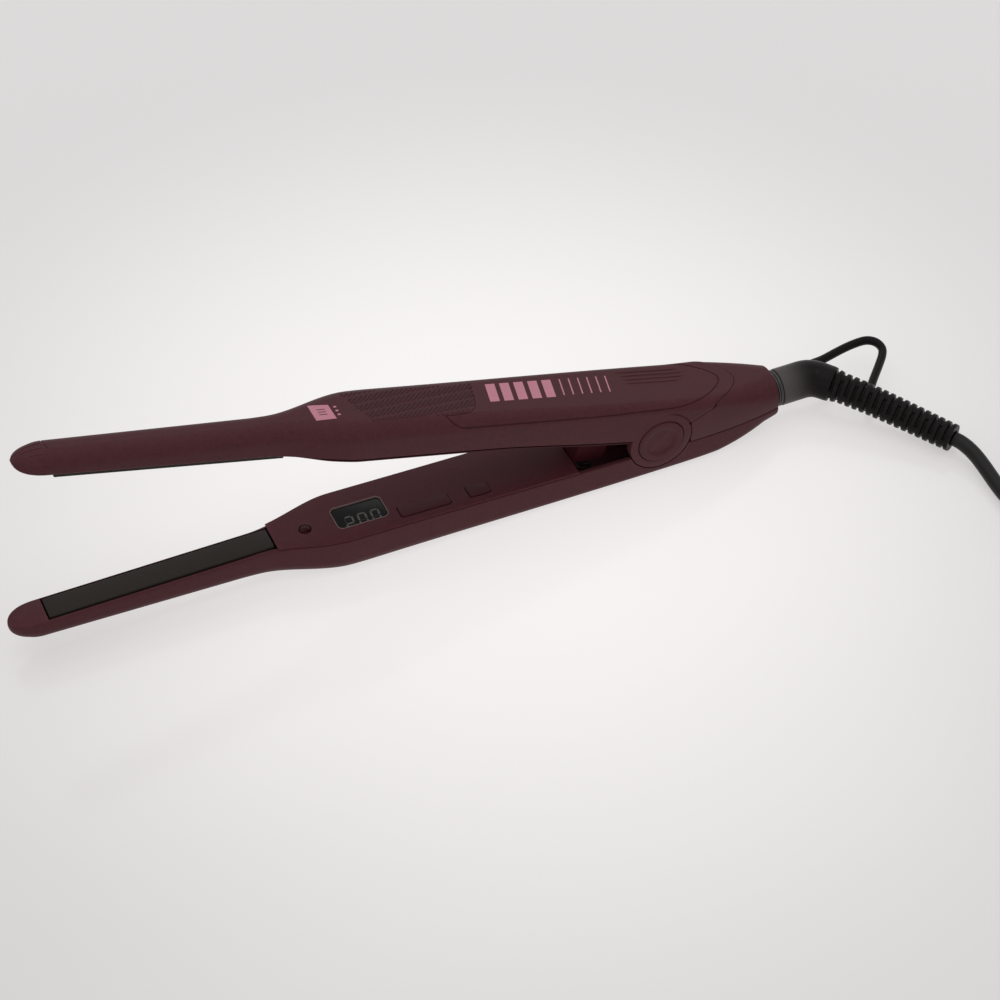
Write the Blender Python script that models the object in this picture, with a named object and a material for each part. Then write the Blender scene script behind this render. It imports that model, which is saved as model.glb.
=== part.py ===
# Flat iron (hair straightener), pencil type, shown standing open.
#
# Frame: metres, +Z up. The iron lies on the belly of its lower arm, z = 0. +X runs
# towards the cord, the tips point to -X and the hinge pin lies along Y. The two arms
# are drawn shut, mirror images about the mating plane, and the upper arm then turns
# about the pin by OPEN_DEG.
import bpy
import bmesh
import math
from mathutils import Vector, Matrix

# ---------------------------------------------------------------- driving dimensions (mm)
OPEN_DEG = 15.94          # opening between the arms
HINGE_X = 60.0            # hinge pin, from the frame origin
MATE_Z = 16.3             # mating plane and hinge pin height
X_TIP = -176.8            # front of both tips
X_REAR = 110.0            # rear end of the casing
PLATE_X0 = -163.45        # heater plate, front end
PLATE_L = 80.0            # heater plate length
PLATE_W = 9.0             # heater plate width
PLATE_GAP = 0.30          # gap left between the plates when shut
W_BARREL = 6.2            # half-width of the barrels
W_HANDLE = 12.3           # half-width of the handles
W_END = 4.1               # what the half-width loses at the rear end
T_HANDLE = 16.3           # height of one handle half
WALL = 1.6                # casing wall
EAR_R = 12.0              # hinge ears of the upper arm
CAP_R = 8.75              # round caps over the pin
PIN_R = 2.4
COLLAR_R = 6.9            # cord boot where it meets the casing
CORD_AXIS_Z = 11.7        # height of the swivel axis
CORD_D = 5.4
CORD_LENGTH = 1.8         # metres, free length
GAP = 0.30                # working gap between neighbouring pieces
COVER_END_X = 28.0        # rear end of the control panel
BOOT_END = (162.1, -44.3, 5.6)
ELBOW_X = 127.2
COIL_C = (212.0, -104.0)  # centre of the stored coil on the table

H = Vector((HINGE_X, 0.0, MATE_Z))
TH = math.radians(OPEN_DEG)

for o in list(bpy.data.objects):
    bpy.data.objects.remove(o, do_unlink=True)
for m in list(bpy.data.meshes):
    bpy.data.meshes.remove(m)


# ---------------------------------------------------------------- materials
def material(name, rgb, rough, metal=0.0, alpha=1.0):
    m = bpy.data.materials.new(name)
    m.use_nodes = True
    b = m.node_tree.nodes["Principled BSDF"]
    b.inputs["Base Color"].default_value = (rgb[0], rgb[1], rgb[2], 1.0)
    b.inputs["Roughness"].default_value = rough
    b.inputs["Metallic"].default_value = metal
    b.inputs["Alpha"].default_value = alpha
    m.diffuse_color = (rgb[0], rgb[1], rgb[2], alpha)
    return m


PLUM = (0.062, 0.021, 0.026)
CERAMIC = (0.022, 0.018, 0.016)
BLACK = (0.012, 0.011, 0.010)
STEEL = (0.55, 0.55, 0.56)


# ---------------------------------------------------------------- mesh helpers (mm in, metres out)
def finish(bm, name, mat=None):
    bmesh.ops.remove_doubles(bm, verts=bm.verts, dist=2e-6)
    bmesh.ops.recalc_face_normals(bm, faces=bm.faces)
    me = bpy.data.meshes.new(name)
    bm.to_mesh(me)
    bm.free()
    ob = bpy.data.objects.new(name, me)
    bpy.context.scene.collection.objects.link(ob)
    if mat is not None:
        me.materials.append(mat)
    return ob


def loft(name, rings, mat=None):
    """Closed solid through rings of equal point count, end rings capped."""
    bm = bmesh.new()
    rows = [[bm.verts.new((p[0] * 0.001, p[1] * 0.001, p[2] * 0.001)) for p in r] for r in rings]
    n = len(rows[0])
    for a, b in zip(rows, rows[1:]):
        for i in range(n):
            j = (i + 1) % n
            bm.faces.new((a[i], a[j], b[j], b[i]))
    bm.faces.new(list(reversed(rows[0])))
    bm.faces.new(rows[-1])
    return finish(bm, name, mat)


def ring_loft(name, rings, mat=None):
    """Closed ring through rings of equal point count (last joins first)."""
    bm = bmesh.new()
    rows = [[bm.verts.new((p[0] * 0.001, p[1] * 0.001, p[2] * 0.001)) for p in r] for r in rings]
    n = len(rows[0])
    for k in range(len(rows)):
        a, b = rows[k], rows[(k + 1) % len(rows)]
        for i in range(n):
            j = (i + 1) % n
            bm.faces.new((a[i], a[j], b[j], b[i]))
    return finish(bm, name, mat)


def prism(name, poly, lo, hi, axis="Y", mat=None):
    """Extrude a polygon along an axis. poly is (x, z) for Y, (x, y) for Z, (y, z) for X."""
    def pt(p, h):
        if axis == "Y":
            return (p[0], h, p[1])
        if axis == "Z":
            return (p[0], p[1], h)
        return (h, p[0], p[1])
    return loft(name, [[pt(p, lo) for p in poly], [pt(p, hi) for p in poly]], mat)


def box(name, x0, x1, y0, y1, z0, z1, mat=None, bevel=0.0):
    ob = prism(name, [(x0, y0), (x1, y0), (x1, y1), (x0, y1)], z0, z1, "Z", mat)
    if bevel:
        bm = bmesh.new()
        bm.from_mesh(ob.data)
        bmesh.ops.bevel(bm, geom=list(bm.edges), offset=bevel * 0.001, segments=1,
                        affect="EDGES", profile=0.5)
        bmesh.ops.recalc_face_normals(bm, faces=bm.faces)
        bm.to_mesh(ob.data)
        bm.free()
    return ob


def circle(cx, cy, r, n, ph=0.0):
    return [(cx + r * math.cos(2 * math.pi * (i + ph) / n), cy + r * math.sin(2 * math.pi * (i + ph) / n))
            for i in range(n)]


def cyl(name, axis, c, r, lo, hi, n=24, mat=None):
    return prism(name, circle(c[0], c[1], r, n, 0.5), lo, hi, axis, mat)


def turned(name, profile, axis, c, n=24, mat=None):
    """Solid turned about an axis from an open profile of (r, h) whose ends lie on the axis."""
    rings = []
    for r, h in profile:
        r = max(r, 0.02)
        ring = []
        for p in circle(c[0], c[1], r, n, 0.5):
            ring.append((p[0], h, p[1]) if axis == "Y" else ((p[0], p[1], h) if axis == "Z" else (h, p[0], p[1])))
        rings.append(ring)
    return loft(name, rings, mat)


def boolean(ob, cutter, op="DIFFERENCE"):
    m = ob.modifiers.new("bool", "BOOLEAN")
    m.operation = op
    m.object = cutter
    m.solver = "EXACT"
    bpy.context.view_layer.update()
    dg = bpy.context.evaluated_depsgraph_get()
    me = bpy.data.meshes.new_from_object(ob.evaluated_get(dg))
    ob.modifiers.clear()
    old = ob.data
    mats = [s for s in old.materials]
    ob.data = me
    bpy.data.meshes.remove(old)
    bpy.data.objects.remove(cutter, do_unlink=True)
    me.materials.clear()
    for s in mats:
        me.materials.append(s)
    for p in me.polygons:
        p.material_index = 0
    bm = bmesh.new()
    bm.from_mesh(me)
    bmesh.ops.remove_doubles(bm, verts=bm.verts, dist=2e-6)
    bmesh.ops.dissolve_limit(bm, angle_limit=math.radians(0.05), verts=bm.verts, edges=bm.edges)
    bmesh.ops.recalc_face_normals(bm, faces=bm.faces)
    bm.to_mesh(me)
    bm.free()
    return ob


def add(ob, other):
    return boolean(ob, other, "UNION")


def cut(ob, other):
    return boolean(ob, other, "DIFFERENCE")


def opened(ob):
    """Turn a solid drawn shut to where the open arm carries it (baked in the mesh)."""
    t = Matrix.Translation(H * 0.001) @ Matrix.Rotation(TH, 4, "Y") @ Matrix.Translation(-H * 0.001)
    ob.data.transform(t)
    return ob


# ---------------------------------------------------------------- shape rules of the arms
def smooth(a, b, x):
    s = min(1.0, max(0.0, (x - a) / (b - a)))
    return s * s * (3 - 2 * s)


def half_width(x):
    w = W_BARREL + (W_HANDLE - W_BARREL) * smooth(-89.0, -58.0, x)
    w += 0.2 * smooth(-40.0, 50.0, x)
    if x > 66.0:
        w -= W_END * ((x - 66.0) / 44.0) ** 2.6
    return w


def height(x):
    """How far the outer face of an arm lies from the mating plane."""
    barrel = 12.1 + 0.0368 * (min(x, -60.0) + 97.0)
    t = barrel + (T_HANDLE - barrel) * smooth(-97.0, -50.0, x)
    return t


def belly(x):
    t = height(x)
    if x > 80.0:
        t -= 4.4 * ((x - 80.0) / 30.0) ** 2.2
    return t


def crown(x):
    """Extra rise of the upper casing's tail, which rounds the top behind the hinge."""
    return 1.3 * smooth(66.0, 92.0, x)


def corner(x):
    r = 5.4 + 0.8 * smooth(-89.0, -60.0, x) - 2.5 * smooth(-75.0, 70.0, x)
    if x > 84.0:
        r += 3.9 * (x - 84.0) / 26.0
    return r


def rim_low(x):
    """Height of the lower casing's rim: the parting line seen on its side."""
    return MATE_Z - 0.6 - 0.5 * smooth(-88.0, -70.0, x) - 0.0298 * max(0.0, x + 62.0)


def rim_up(x):
    """Rim of the upper casing above the mating plane."""
    return MATE_Z + 1.8 + 1.2 * smooth(-88.0, -62.0, x) - 2.2 * smooth(-10.0, 50.0, x)


def rim_round(x):
    """Rounding of the casings' outer rim edges."""
    return 1.3 - 0.9 * smooth(-92.0, -72.0, x)


def tip_scale(x):
    u = min(1.0, max(0.0, (-166.0 - x) / (-166.0 - X_TIP)))
    return max(0.0, 1.0 - u ** 2.1) ** (1 / 2.1)


APEX = 3.4     # the tips' front point lies this far from the mating plane


def tub_section(x, inset=0.0, floor=0.0, up=False, top=None, n=4):
    """Half-section of an arm from rim to rim round its outer face."""
    f = tip_scale(x)
    w = max(0.7, half_width(x) * f) - inset
    t = belly(x) if not up else height(x) + crown(x)
    if f < 1.0:
        t = APEX + (t - APEX) * max(f, 0.06)
    zb = MATE_Z - t + floor
    zt = (rim_low(x) if not up else 2 * MATE_Z - rim_up(x)) if top is None else top
    if f < 1.0 and top is None:
        zt -= (APEX - 0.9) * (1.0 - f) ** 1.4
    e = min(rim_round(x) * f, 0.4 * w, 0.3 * (zt - zb)) if top is None else 0.0
    r = min(max(0.6, corner(x) - inset), w - 0.15, zt - zb - e - 0.4)
    pts = [(w, zt)] if e < 0.05 else [(w - e, zt), (w - 0.3 * e, zt - 0.3 * e), (w, zt - e)]
    for k in range(n + 1):
        a = 0.5 * math.pi * k / n
        pts.append((w - r + r * math.cos(a), zb + r - r * math.sin(a)))
    out = pts + [(-p[0], p[1]) for p in reversed(pts)]
    if up:
        out = [(p[0], 2 * MATE_Z - p[1]) for p in reversed(out)]
    return [(x, p[0], p[1]) for p in out]


def stations(x0, x1):
    xs = [X_TIP + 0.15, -177.0, -175.3, -172.8, -169.5, -166.0, -163.9, -130.0, -97.0, -90.0, -84.0,
          -78.0, -72.0, -66.0, -60.0, -50.0, -20.0, 10.0, 40.0, 60.0, 74.0, 84.0, 91.0, 97.0, 102.0, 106.0, 108.8]
    return [x0] + [x for x in xs if x0 + 0.5 < x < x1 - 0.5] + [x1]


def shrink(sec, d, cz):
    """Draw a section in by d, for the rounded rear end."""
    out = []
    for x, y, z in sec:
        yy = y - math.copysign(min(d, abs(y)), y) if abs(y) > 0.2 else y
        zz = z - d if z > cz + 2.5 else (z + d if z < cz - 2.5 else z)
        out.append((x, yy, zz))
    return out


# ================================================================ LOWER ARM (root)
plum = material("soft_plum", PLUM, 0.55)

# Casing tub: one hollow shell from tip to cord, with the lugs that carry the pin.
xs = stations(X_TIP + 0.15, X_REAR - 0.9)
rings = [tub_section(x) for x in xs]
rings.append([(X_REAR, p[1], p[2]) for p in shrink(tub_section(X_REAR - 0.9), 0.7, CORD_AXIS_Z - 3.0)])
lower_shell = loft("lower_shell", rings, plum)
cav = [tub_section(x, inset=0.9, floor=1.3, top=MATE_Z + 4) for x in (-164.0, -130.0, -97.0)]
cav += [tub_section(x, inset=0.9 + 0.7 * smooth(-97.0, -70.0, x), floor=WALL, top=MATE_Z + 4)
        for x in stations(-90.0, 105.2)]
cut(lower_shell, loft("c", cav))
for s in (-1, 1):
    add(lower_shell, prism("lug", [(51.5, 1.0), (68.5, 1.0), (67.5, MATE_Z)] +
                           [(HINGE_X + 7.5 * math.cos(math.pi * k / 8), MATE_Z + 7.5 * math.sin(math.pi * k / 8)) for k in range(0, 9)] +
                           [(52.5, MATE_Z)], min(5.8 * s, 8.9 * s), max(5.8 * s, 8.9 * s), "Y"))
    cut(lower_shell, cyl("c", "Y", (HINGE_X, MATE_Z), EAR_R + GAP, min(8.9 * s, 14 * s), max(8.9 * s, 14 * s), 32))
cut(lower_shell, cyl("c", "Y", (HINGE_X, MATE_Z), PIN_R + GAP, -10, 10, 20))
cut(lower_shell, cyl("c", "X", (0, CORD_AXIS_Z), COLLAR_R + 0.15, 103, 112, 32))
for sx in (-78.0, 14.0, 80.0):
    zb = MATE_Z - height(sx)
    cut(lower_shell, cyl("c", "Z", (sx, 0), 1.5, zb - 3, zb + 5, 14))
    cut(lower_shell, cyl("c", "Z", (sx, 0), 2.6, zb - 3, zb + 0.9, 18))


# Control panel: the flat inner face that closes the front of the tub.
def panel_section(x, gap, up=False, thick=1.0):
    w = half_width(x) - 0.04
    zp = (rim_low(x) if not up else 2 * MATE_Z - rim_up(x)) + GAP
    top = min(zp + 0.75, MATE_Z - 0.2) if not up else zp + 0.75
    b = 0.75 * (top - zp)
    wi = half_width(x) - WALL - gap
    pts = [(w, zp), (w, top - b), (w - 0.3 * b, top - 0.3 * b), (w - b, top), (-w + b, top), (-w + 0.3 * b, top - 0.3 * b), (-w, top - b), (-w, zp),
           (-wi, zp), (-wi, zp - thick), (wi, zp - thick), (wi, zp)]
    if up:
        pts = [(p[0], 2 * MATE_Z - p[1]) for p in reversed(pts)]
    return [(x, p[0], p[1]) for p in pts]


def panel_top(x):
    return min(rim_low(x) + GAP + 0.75, MATE_Z - 0.2)


PX0 = PLATE_X0 + PLATE_L + 0.7
lower_face_cover = loft("lower_face_cover", [panel_section(x, GAP) for x in stations(PX0, COVER_END_X)],
                        material("panel_plum", PLUM, 0.45))
for sx in (-78.0, 14.0):
    add(lower_face_cover, cyl("post", "Z", (sx, 0), 2.9, MATE_Z - height(sx) + WALL + GAP + 0.4, panel_top(sx) - 1.0, 16))
    cut(lower_face_cover, cyl("c", "Z", (sx, 0), 1.35, 0, panel_top(sx) - 1.6, 14))


def rounded_rect(x0, x1, y0, y1, r, n=3):
    pts = []
    for cx, cy, a0 in ((x1 - r, y1 - r, 0), (x0 + r, y1 - r, 90), (x0 + r, y0 + r, 180), (x1 - r, y0 + r, 270)):
        for k in range(n + 1):
            a = math.radians(a0 + 90.0 * k / n)
            pts.append((cx + r * math.cos(a), cy + r * math.sin(a)))
    return pts


DISP = (-60.2, -41.6, -6.3, 4.1)      # display window in the panel
ROCK = (-38.4, -19.2, -9.4, -3.6)     # temperature rocker
POWR = (-12.6, -4.2, -9.4, -3.6)      # power button
LED = (-71.0, -1.2)
cut(lower_face_cover, prism("c", rounded_rect(*DISP, 1.8), 10, 20, "Z"))
for r in (ROCK, POWR):
    cut(lower_face_cover, prism("c", rounded_rect(*r, 0.9, 2), 10, 20, "Z"))
cut(lower_face_cover, cyl("c", "Z", LED, 2.3, 10, 20, 18))

zt = panel_top(-51.0)
display_lens = prism("display_lens", rounded_rect(DISP[0] + GAP, DISP[1] - GAP, DISP[2] + GAP, DISP[3] - GAP, 1.5),
                     zt - 1.3, zt - 0.25, "Z", material("display_black", (0.010, 0.010, 0.011), 0.08))
led_lens = turned("led_lens", [(0.02, panel_top(LED[0]) - 2.4), (2.0, panel_top(LED[0]) - 2.4), (2.0, panel_top(LED[0]) - 0.2),
                               (1.4, panel_top(LED[0]) + 0.25), (0.02, panel_top(LED[0]) + 0.45)], "Z", LED, 18,
                  material("led_red", (0.09, 0.004, 0.006), 0.15))

# Circuit board and what it carries.
PCB_Z = 6.6
pcb = box("circuit_board", -67.0, 6.5, -8.6, 8.6, PCB_Z, PCB_Z + 1.2, material("board_green", (0.02, 0.10, 0.04), 0.5))
display_module = box("display_module", -59.4, -42.4, -5.5, 3.3, PCB_Z + 1.5, zt - 1.6, material("module_grey", (0.25, 0.25, 0.24), 0.4), 0.3)
led_emitter = box("led_emitter", LED[0] - 1.2, LED[0] + 1.2, LED[1] - 1.2, LED[1] + 1.2, PCB_Z + 1.5, panel_top(LED[0]) - 2.7, material("emitter_white", (0.7, 0.68, 0.6), 0.4), 0.2)


def named(names, parts, mat):
    """Give a set of like solids their own names and one finish."""
    for n, p in zip(names, parts):
        p.name = n
        p.data.name = n
        p.data.materials.clear()
        p.data.materials.append(mat)
    return parts


SW_H = 2.0
switches = []
for sx in (-34.5, -23.1, -8.4):
    b = box("s", sx - 2.2, sx + 2.2, -8.4, -4.4, PCB_Z + 1.5, PCB_Z + 1.5 + SW_H)
    add(b, cyl("n", "Z", (sx, -6.5), 1.1, PCB_Z + 1.5 + SW_H - 0.4, PCB_Z + 1.5 + SW_H + 0.45, 12))
    switches.append(b)
named(("tact_switch_minus", "tact_switch_plus", "tact_switch_power"), switches, material("switch_grey", (0.12, 0.12, 0.12), 0.45))
capacitor = box("film_capacitor", -33.0, -22.0, 1.5, 7.5, PCB_Z + 1.5, 13.0, material("capacitor_amber", (0.35, 0.16, 0.03), 0.35), 0.4)
triac = box("power_triac", -17.0, -12.5, 1.0, 8.0, PCB_Z + 1.5, 12.6, material("triac_black", (0.015, 0.015, 0.016), 0.4), 0.25)
heatsink = box("triac_heatsink", -12.1, -10.9, 0.4, 8.2, PCB_Z + 1.5, 12.9, material("sink_aluminium", (0.6, 0.6, 0.62), 0.35, 1.0))


# Buttons: each drops through the panel and has a flange under it.
def button(name, r, over, mat):
    zc = panel_top(0.5 * (r[0] + r[1]))
    zlo = min(rim_low(r[0]), rim_low(r[1])) + GAP - 1.0
    g = GAP
    b = prism(name, rounded_rect(r[0] + g, r[1] - g, r[2] + g, r[3] - g, 0.7, 2), zlo - 1.4, zc + over, "Z", mat)
    add(b, box("f", r[0] - 0.6, r[1] + 0.6, r[2] - 0.1, r[3] + 0.6, zlo - 1.5, zlo - 0.55))
    return b


btn = material("button_plum", PLUM, 0.5)
rocker = button("temperature_rocker", ROCK, 0.45, btn)
power = button("power_button", POWR, 0.45, btn)

# Heater plate, its tray, heating element, sensor. Built once for the lower arm and
# mirrored about the mating plane for the upper arm.
ceramic = material("plate_ceramic", CERAMIC, 0.3)
tray_m = material("tray_black", BLACK, 0.6)


def mirrored(ob):
    ob.data.transform(Matrix.Translation((0, 0, 2 * MATE_Z * 0.001)) @ Matrix.Scale(-1, 4, (0, 0, 1)))
    bm = bmesh.new()
    bm.from_mesh(ob.data)
    bmesh.ops.recalc_face_normals(bm, faces=bm.faces)
    bm.to_mesh(ob.data)
    bm.free()
    return ob


def plate(name):
    hw = PLATE_W / 2
    zt_ = MATE_Z - PLATE_GAP / 2
    sec = [(hw - 0.5, zt_), (hw, zt_ - 0.4), (hw, zt_ - 1.6)]
    sec = sec + [(-p[0], p[1]) for p in reversed(sec)]
    return prism(name, sec, PLATE_X0, PLATE_X0 + PLATE_L, "X", ceramic)


def tray(name):
    x0, x1 = PLATE_X0 + 0.2, PLATE_X0 + PLATE_L - 0.2
    zt_ = MATE_Z - 2.6
    t = box(name, x0, x1, -4.7, 4.7, MATE_Z - 5.3, zt_, tray_m)
    cut(t, box("c", x0 + 1.0, x1 - 1.0, -3.9, 3.9, MATE_Z - 4.6, zt_ + 2))
    return t


def heater(name):
    return box(name, PLATE_X0 + 9.0, PLATE_X0 + PLATE_L - 9.0, -2.4, 2.4, MATE_Z - 3.9, MATE_Z - 2.1,
               material(name + "_film", (0.45, 0.24, 0.05), 0.35), 0.25)


lower_plate = plate("lower_plate")
lower_tray = tray("lower_plate_tray")
lower_heater = heater("lower_heater")
thermistor = turned("thermistor", [(0.02, -156.6), (0.8, -156.4), (0.8, -155.0), (0.02, -154.9)], "X", (0.0, MATE_Z - 3.0), 12,
                    material("thermistor_glass", (0.30, 0.12, 0.05), 0.2))
thermal_fuse = turned("thermal_fuse", [(0.02, -62.0), (0.6, -61.9), (1.4, -61.4), (1.4, -54.0), (0.6, -53.5), (0.02, -53.4)], "X", (0.0, 5.0), 14,
                      material("fuse_metal", (0.6, 0.55, 0.45), 0.35, 1.0))

# Hinge: pin, spacer between the lugs, bushes in the ears, caps.
steel = material("pin_steel", STEEL, 0.3, 1.0)
hinge_pin = turned("hinge_pin", [(0.02, -10.9), (PIN_R - 0.4, -10.9), (PIN_R, -10.5), (PIN_R, 10.5), (PIN_R - 0.4, 10.9), (0.02, 10.9)], "Y",
                   (HINGE_X, MATE_Z), 20, steel)


def tube_y(name, y0, y1, ro, ri, mat, n=24):
    rings = []
    for r, y in ((ri, y0), (ro, y0), (ro, y1), (ri, y1)):
        rings.append([(p[0], y, p[1]) for p in circle(HINGE_X, MATE_Z, r, n, 0.5)])
    bm_rings = rings
    return ring_loft(name, bm_rings, mat)


hinge_spacer = tube_y("hinge_spacer", -5.5, 5.5, 3.6, PIN_R + GAP, material("spacer_steel", STEEL, 0.35, 1.0), 20)
bush_m = material("bush_acetal", (0.75, 0.73, 0.68), 0.4)
bush_l = tube_y("hinge_bush_left", 9.2, 11.0, 4.3, PIN_R + GAP, bush_m, 20)
bush_r = tube_y("hinge_bush_right", -11.0, -9.2, 4.3, PIN_R + GAP, bush_m, 20)
cap_m = material("cap_plum", PLUM, 0.5)


def cap(name, s):
    prof = [(0.02, 11.35), (CAP_R, 11.35), (CAP_R, 12.5), (CAP_R - 0.45, 12.95), (6.1, 12.95), (5.5, 12.65), (0.02, 12.75)]
    return turned(name, [(r, h * s) for r, h in (prof)], "Y", (HINGE_X, MATE_Z), 24, cap_m)


cap_left = cap("pivot_cap_left", 1)
cap_right = cap("pivot_cap_right", -1)

# Opening spring: a compression coil standing in the lower tub under the upper arm's shroud.
SPRING_X, SPRING_R, WIRE_R, SPRING_Z0, SPRING_Z1, SPRING_N = 36.0, 2.6, 0.35, 2.35, 19.4, 7
rings = []
steps = SPRING_N * 9
for i in range(steps + 1):
    a = 2 * math.pi * i / 9.0
    t_ = i / steps
    lead = min(1.0, t_ * SPRING_N, (1 - t_) * SPRING_N)
    z = SPRING_Z0 + (SPRING_Z1 - SPRING_Z0) * t_
    c = Vector((SPRING_X + SPRING_R * math.cos(a), SPRING_R * math.sin(a), z))
    tg = Vector((-math.sin(a), math.cos(a), (SPRING_Z1 - SPRING_Z0) / (SPRING_N * 2 * math.pi * SPRING_R))).normalized()
    nrm = Vector((math.cos(a), math.sin(a), 0))
    bn = tg.cross(nrm).normalized()
    rings.append([tuple(c + nrm * WIRE_R * math.cos(2 * math.pi * k / 5) + bn * WIRE_R * math.sin(2 * math.pi * k / 5)) for k in range(5)])
opening_spring = loft("opening_spring", rings, material("spring_steel", STEEL, 0.3, 1.0))


# Rear housing: the top of the lower arm behind the hinge, over the swivel.
def top_line(x):
    """Top of the casing behind the hinge, in line with the top of the open upper arm."""
    z = 28.8 - 0.2857 * (x - 75.5) + crown((x - 64.48) / 0.9615 + 60.0)
    if x > 94.0:
        z += 0.045 * (x - 94.0)
    return z


def housing_section(x, inset=0.0, bottom=None, drop=None, n=5):
    w = half_width(x) - inset
    zt_ = top_line(x) - (inset if drop is None else drop)
    zb_ = rim_low(x) + GAP if bottom is None else bottom
    r = max(0.8, min(corner(x) + 0.4 - inset, zt_ - zb_ - 0.4, w - 0.3))
    pts = [(w, zb_)]
    for k in range(n + 1):
        a = 0.5 * math.pi * k / n
        pts.append((w - r + r * math.cos(a), zt_ - r + r * math.sin(a)))
    out = pts + [(-p[0], p[1]) for p in reversed(pts)]
    return [(x, p[0], p[1]) for p in out]


HS = [72.0, 76.0, 80.0, 84.0, 88.0, 91.0, 94.0, 97.0, 100.0, 103.0, 106.0, X_REAR - 0.9]
rings = [housing_section(x) for x in HS]
rings.append([(X_REAR, p[1], p[2]) for p in shrink(housing_section(X_REAR - 0.9), 0.7, CORD_AXIS_Z)])
rear_housing = loft("rear_housing", rings, material("housing_plum", PLUM, 0.55))


def seam_polys(g):
    """The tail of the upper arm, grown by g: side view (x, z) and plan (x, y), drawn shut."""
    a0 = math.radians(OPEN_DEG + 21.3)
    zt_ = MATE_Z + T_HANDLE - 2.2 - g
    dx, dz = g * math.sin(a0), -g * math.cos(a0)
    x1 = HINGE_X + dx + (zt_ - MATE_Z - dz) / math.tan(a0)
    side = [(HINGE_X + dx, MATE_Z + dz), (x1, zt_), (x1, MATE_Z + 30), (HINGE_X - 30, MATE_Z + 30), (HINGE_X - 30, MATE_Z + dz)]
    plan = [(90.5 + g - 0.09 * y * y, y) for y in (-13.5, -11, -8, -5, -2.5, 0, 2.5, 5, 8, 11, 13.5)]
    plan = [(60.0, -13.5)] + plan + [(60.0, 13.5)]
    return side, plan, zt_


side, plan, ztail = seam_polys(GAP)
cut(rear_housing, opened(prism("c", side, -15, 15, "Y")))
cut(rear_housing, opened(prism("c", plan, ztail, MATE_Z + 30, "Z")))
for s in (-1, 1):
    cut(rear_housing, cyl("c", "Y", (HINGE_X, MATE_Z), EAR_R + GAP, min(8.6 * s, 14 * s), max(8.6 * s, 14 * s), 32))
cavr = [housing_section(x, WALL, bottom=5.0, drop=5.2 if x < 96 else 1.6) for x in (79.5, 88.0, 95.0, 98.5, 102.0, 105.2)]
cut(rear_housing, loft("c", cavr))
cut(rear_housing, cyl("c", "X", (0, CORD_AXIS_Z), COLLAR_R + 0.15, 103, 112, 32))
# ---- post for the rear screw, in the solid front of the housing
cut(rear_housing, cyl("c", "Z", (80.0, 0), 1.35, 5, 15.5, 14))

# Screws: countersunk heads in the belly.
screws = []
for sx, top in ((-78.0, 11.5), (14.0, 12.0), (80.0, 13.5)):
    zb = MATE_Z - height(sx)
    screws.append(turned("s", [(0.02, zb + 0.12), (1.9, zb + 0.12), (2.2, zb + 0.4), (2.2, zb + 0.75), (1.05, zb + 0.85), (1.05, top - 0.8), (0.02, top)],
                         "Z", (sx, 0), 14))
named(("case_screw_front", "case_screw_middle", "case_screw_rear"), screws, material("screw_steel", (0.30, 0.30, 0.31), 0.35, 1.0))

# Swivel: saddle that holds the neck, brushes that feed its rings.
saddle = box("swivel_saddle", 97.6, 100.2, -6.8, 6.8, 5.2, 9.6, material("saddle_black", BLACK, 0.5))
cut(saddle, cyl("c", "X", (0, CORD_AXIS_Z), 4.9, 96, 102, 24))
brass = material("contact_brass", (0.75, 0.52, 0.20), 0.3, 1.0)
brushes = []
for bx in (90.6, 94.1):
    b = box("b", bx, bx + 1.4, -3.2, 3.2, 3.6, 5.9)
    brushes.append(b)
named(("brush_contact_live", "brush_contact_neutral"), brushes, brass)

# ================================================================ UPPER ARM
xs = stations(X_TIP + 0.15, 96.0)
upper_shell = loft("upper_shell", [tub_section(x, up=True) for x in xs], material("shell_plum", PLUM, 0.55))
up_cav = [tub_section(x, inset=0.9, floor=1.3, up=True, top=MATE_Z + 4) for x in (-164.0, -130.0, -97.0)]
up_cav += [tub_section(x, inset=0.9 + 0.7 * smooth(-97.0, -70.0, x), floor=WALL, up=True, top=MATE_Z + 4)
           for x in stations(-90.0, 74.0)]
cut(upper_shell, loft("c", up_cav))
# ---- tail: cut along the line that points at the pin, leaving a tongue of the top
a0 = math.radians(OPEN_DEG + 21.3)
tz = T_HANDLE - 2.2
tail = [(EAR_R * math.cos(a), EAR_R * math.sin(a)) for a in (0.0, a0 * 0.33, a0 * 0.67)]
tail += [(EAR_R * math.cos(a0), EAR_R * math.sin(a0)), (tz / math.tan(a0), tz), (44.0, tz), (44.0, -8.0), (EAR_R, -8.0)]
cut(upper_shell, prism("c", [(HINGE_X + p[0], MATE_Z + p[1]) for p in tail], -16, 16, "Y"))
plan = [(90.5 - 0.09 * y * y, y) for y in (-13.5, -11, -8, -5, -2.5, 0, 2.5, 5, 8, 11, 13.5)]
cut(upper_shell, prism("c", plan + [(110.0, 13.5), (110.0, -13.5)], MATE_Z - 10, MATE_Z + 30, "Z"))
for s in (-1, 1):
    lo, hi = min(9.2 * s, 12.5 * s), max(9.2 * s, 12.5 * s)
    add(upper_shell, cyl("e", "Y", (HINGE_X, MATE_Z), EAR_R, lo, hi, 32))
    cut(upper_shell, cyl("c", "Y", (HINGE_X, MATE_Z), 4.6, min(8 * s, 14 * s), max(8 * s, 14 * s), 24))
    cut(upper_shell, cyl("c", "Y", (HINGE_X, MATE_Z), CAP_R + GAP, min(11.1 * s, 14 * s), max(11.1 * s, 14 * s), 28))
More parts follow.
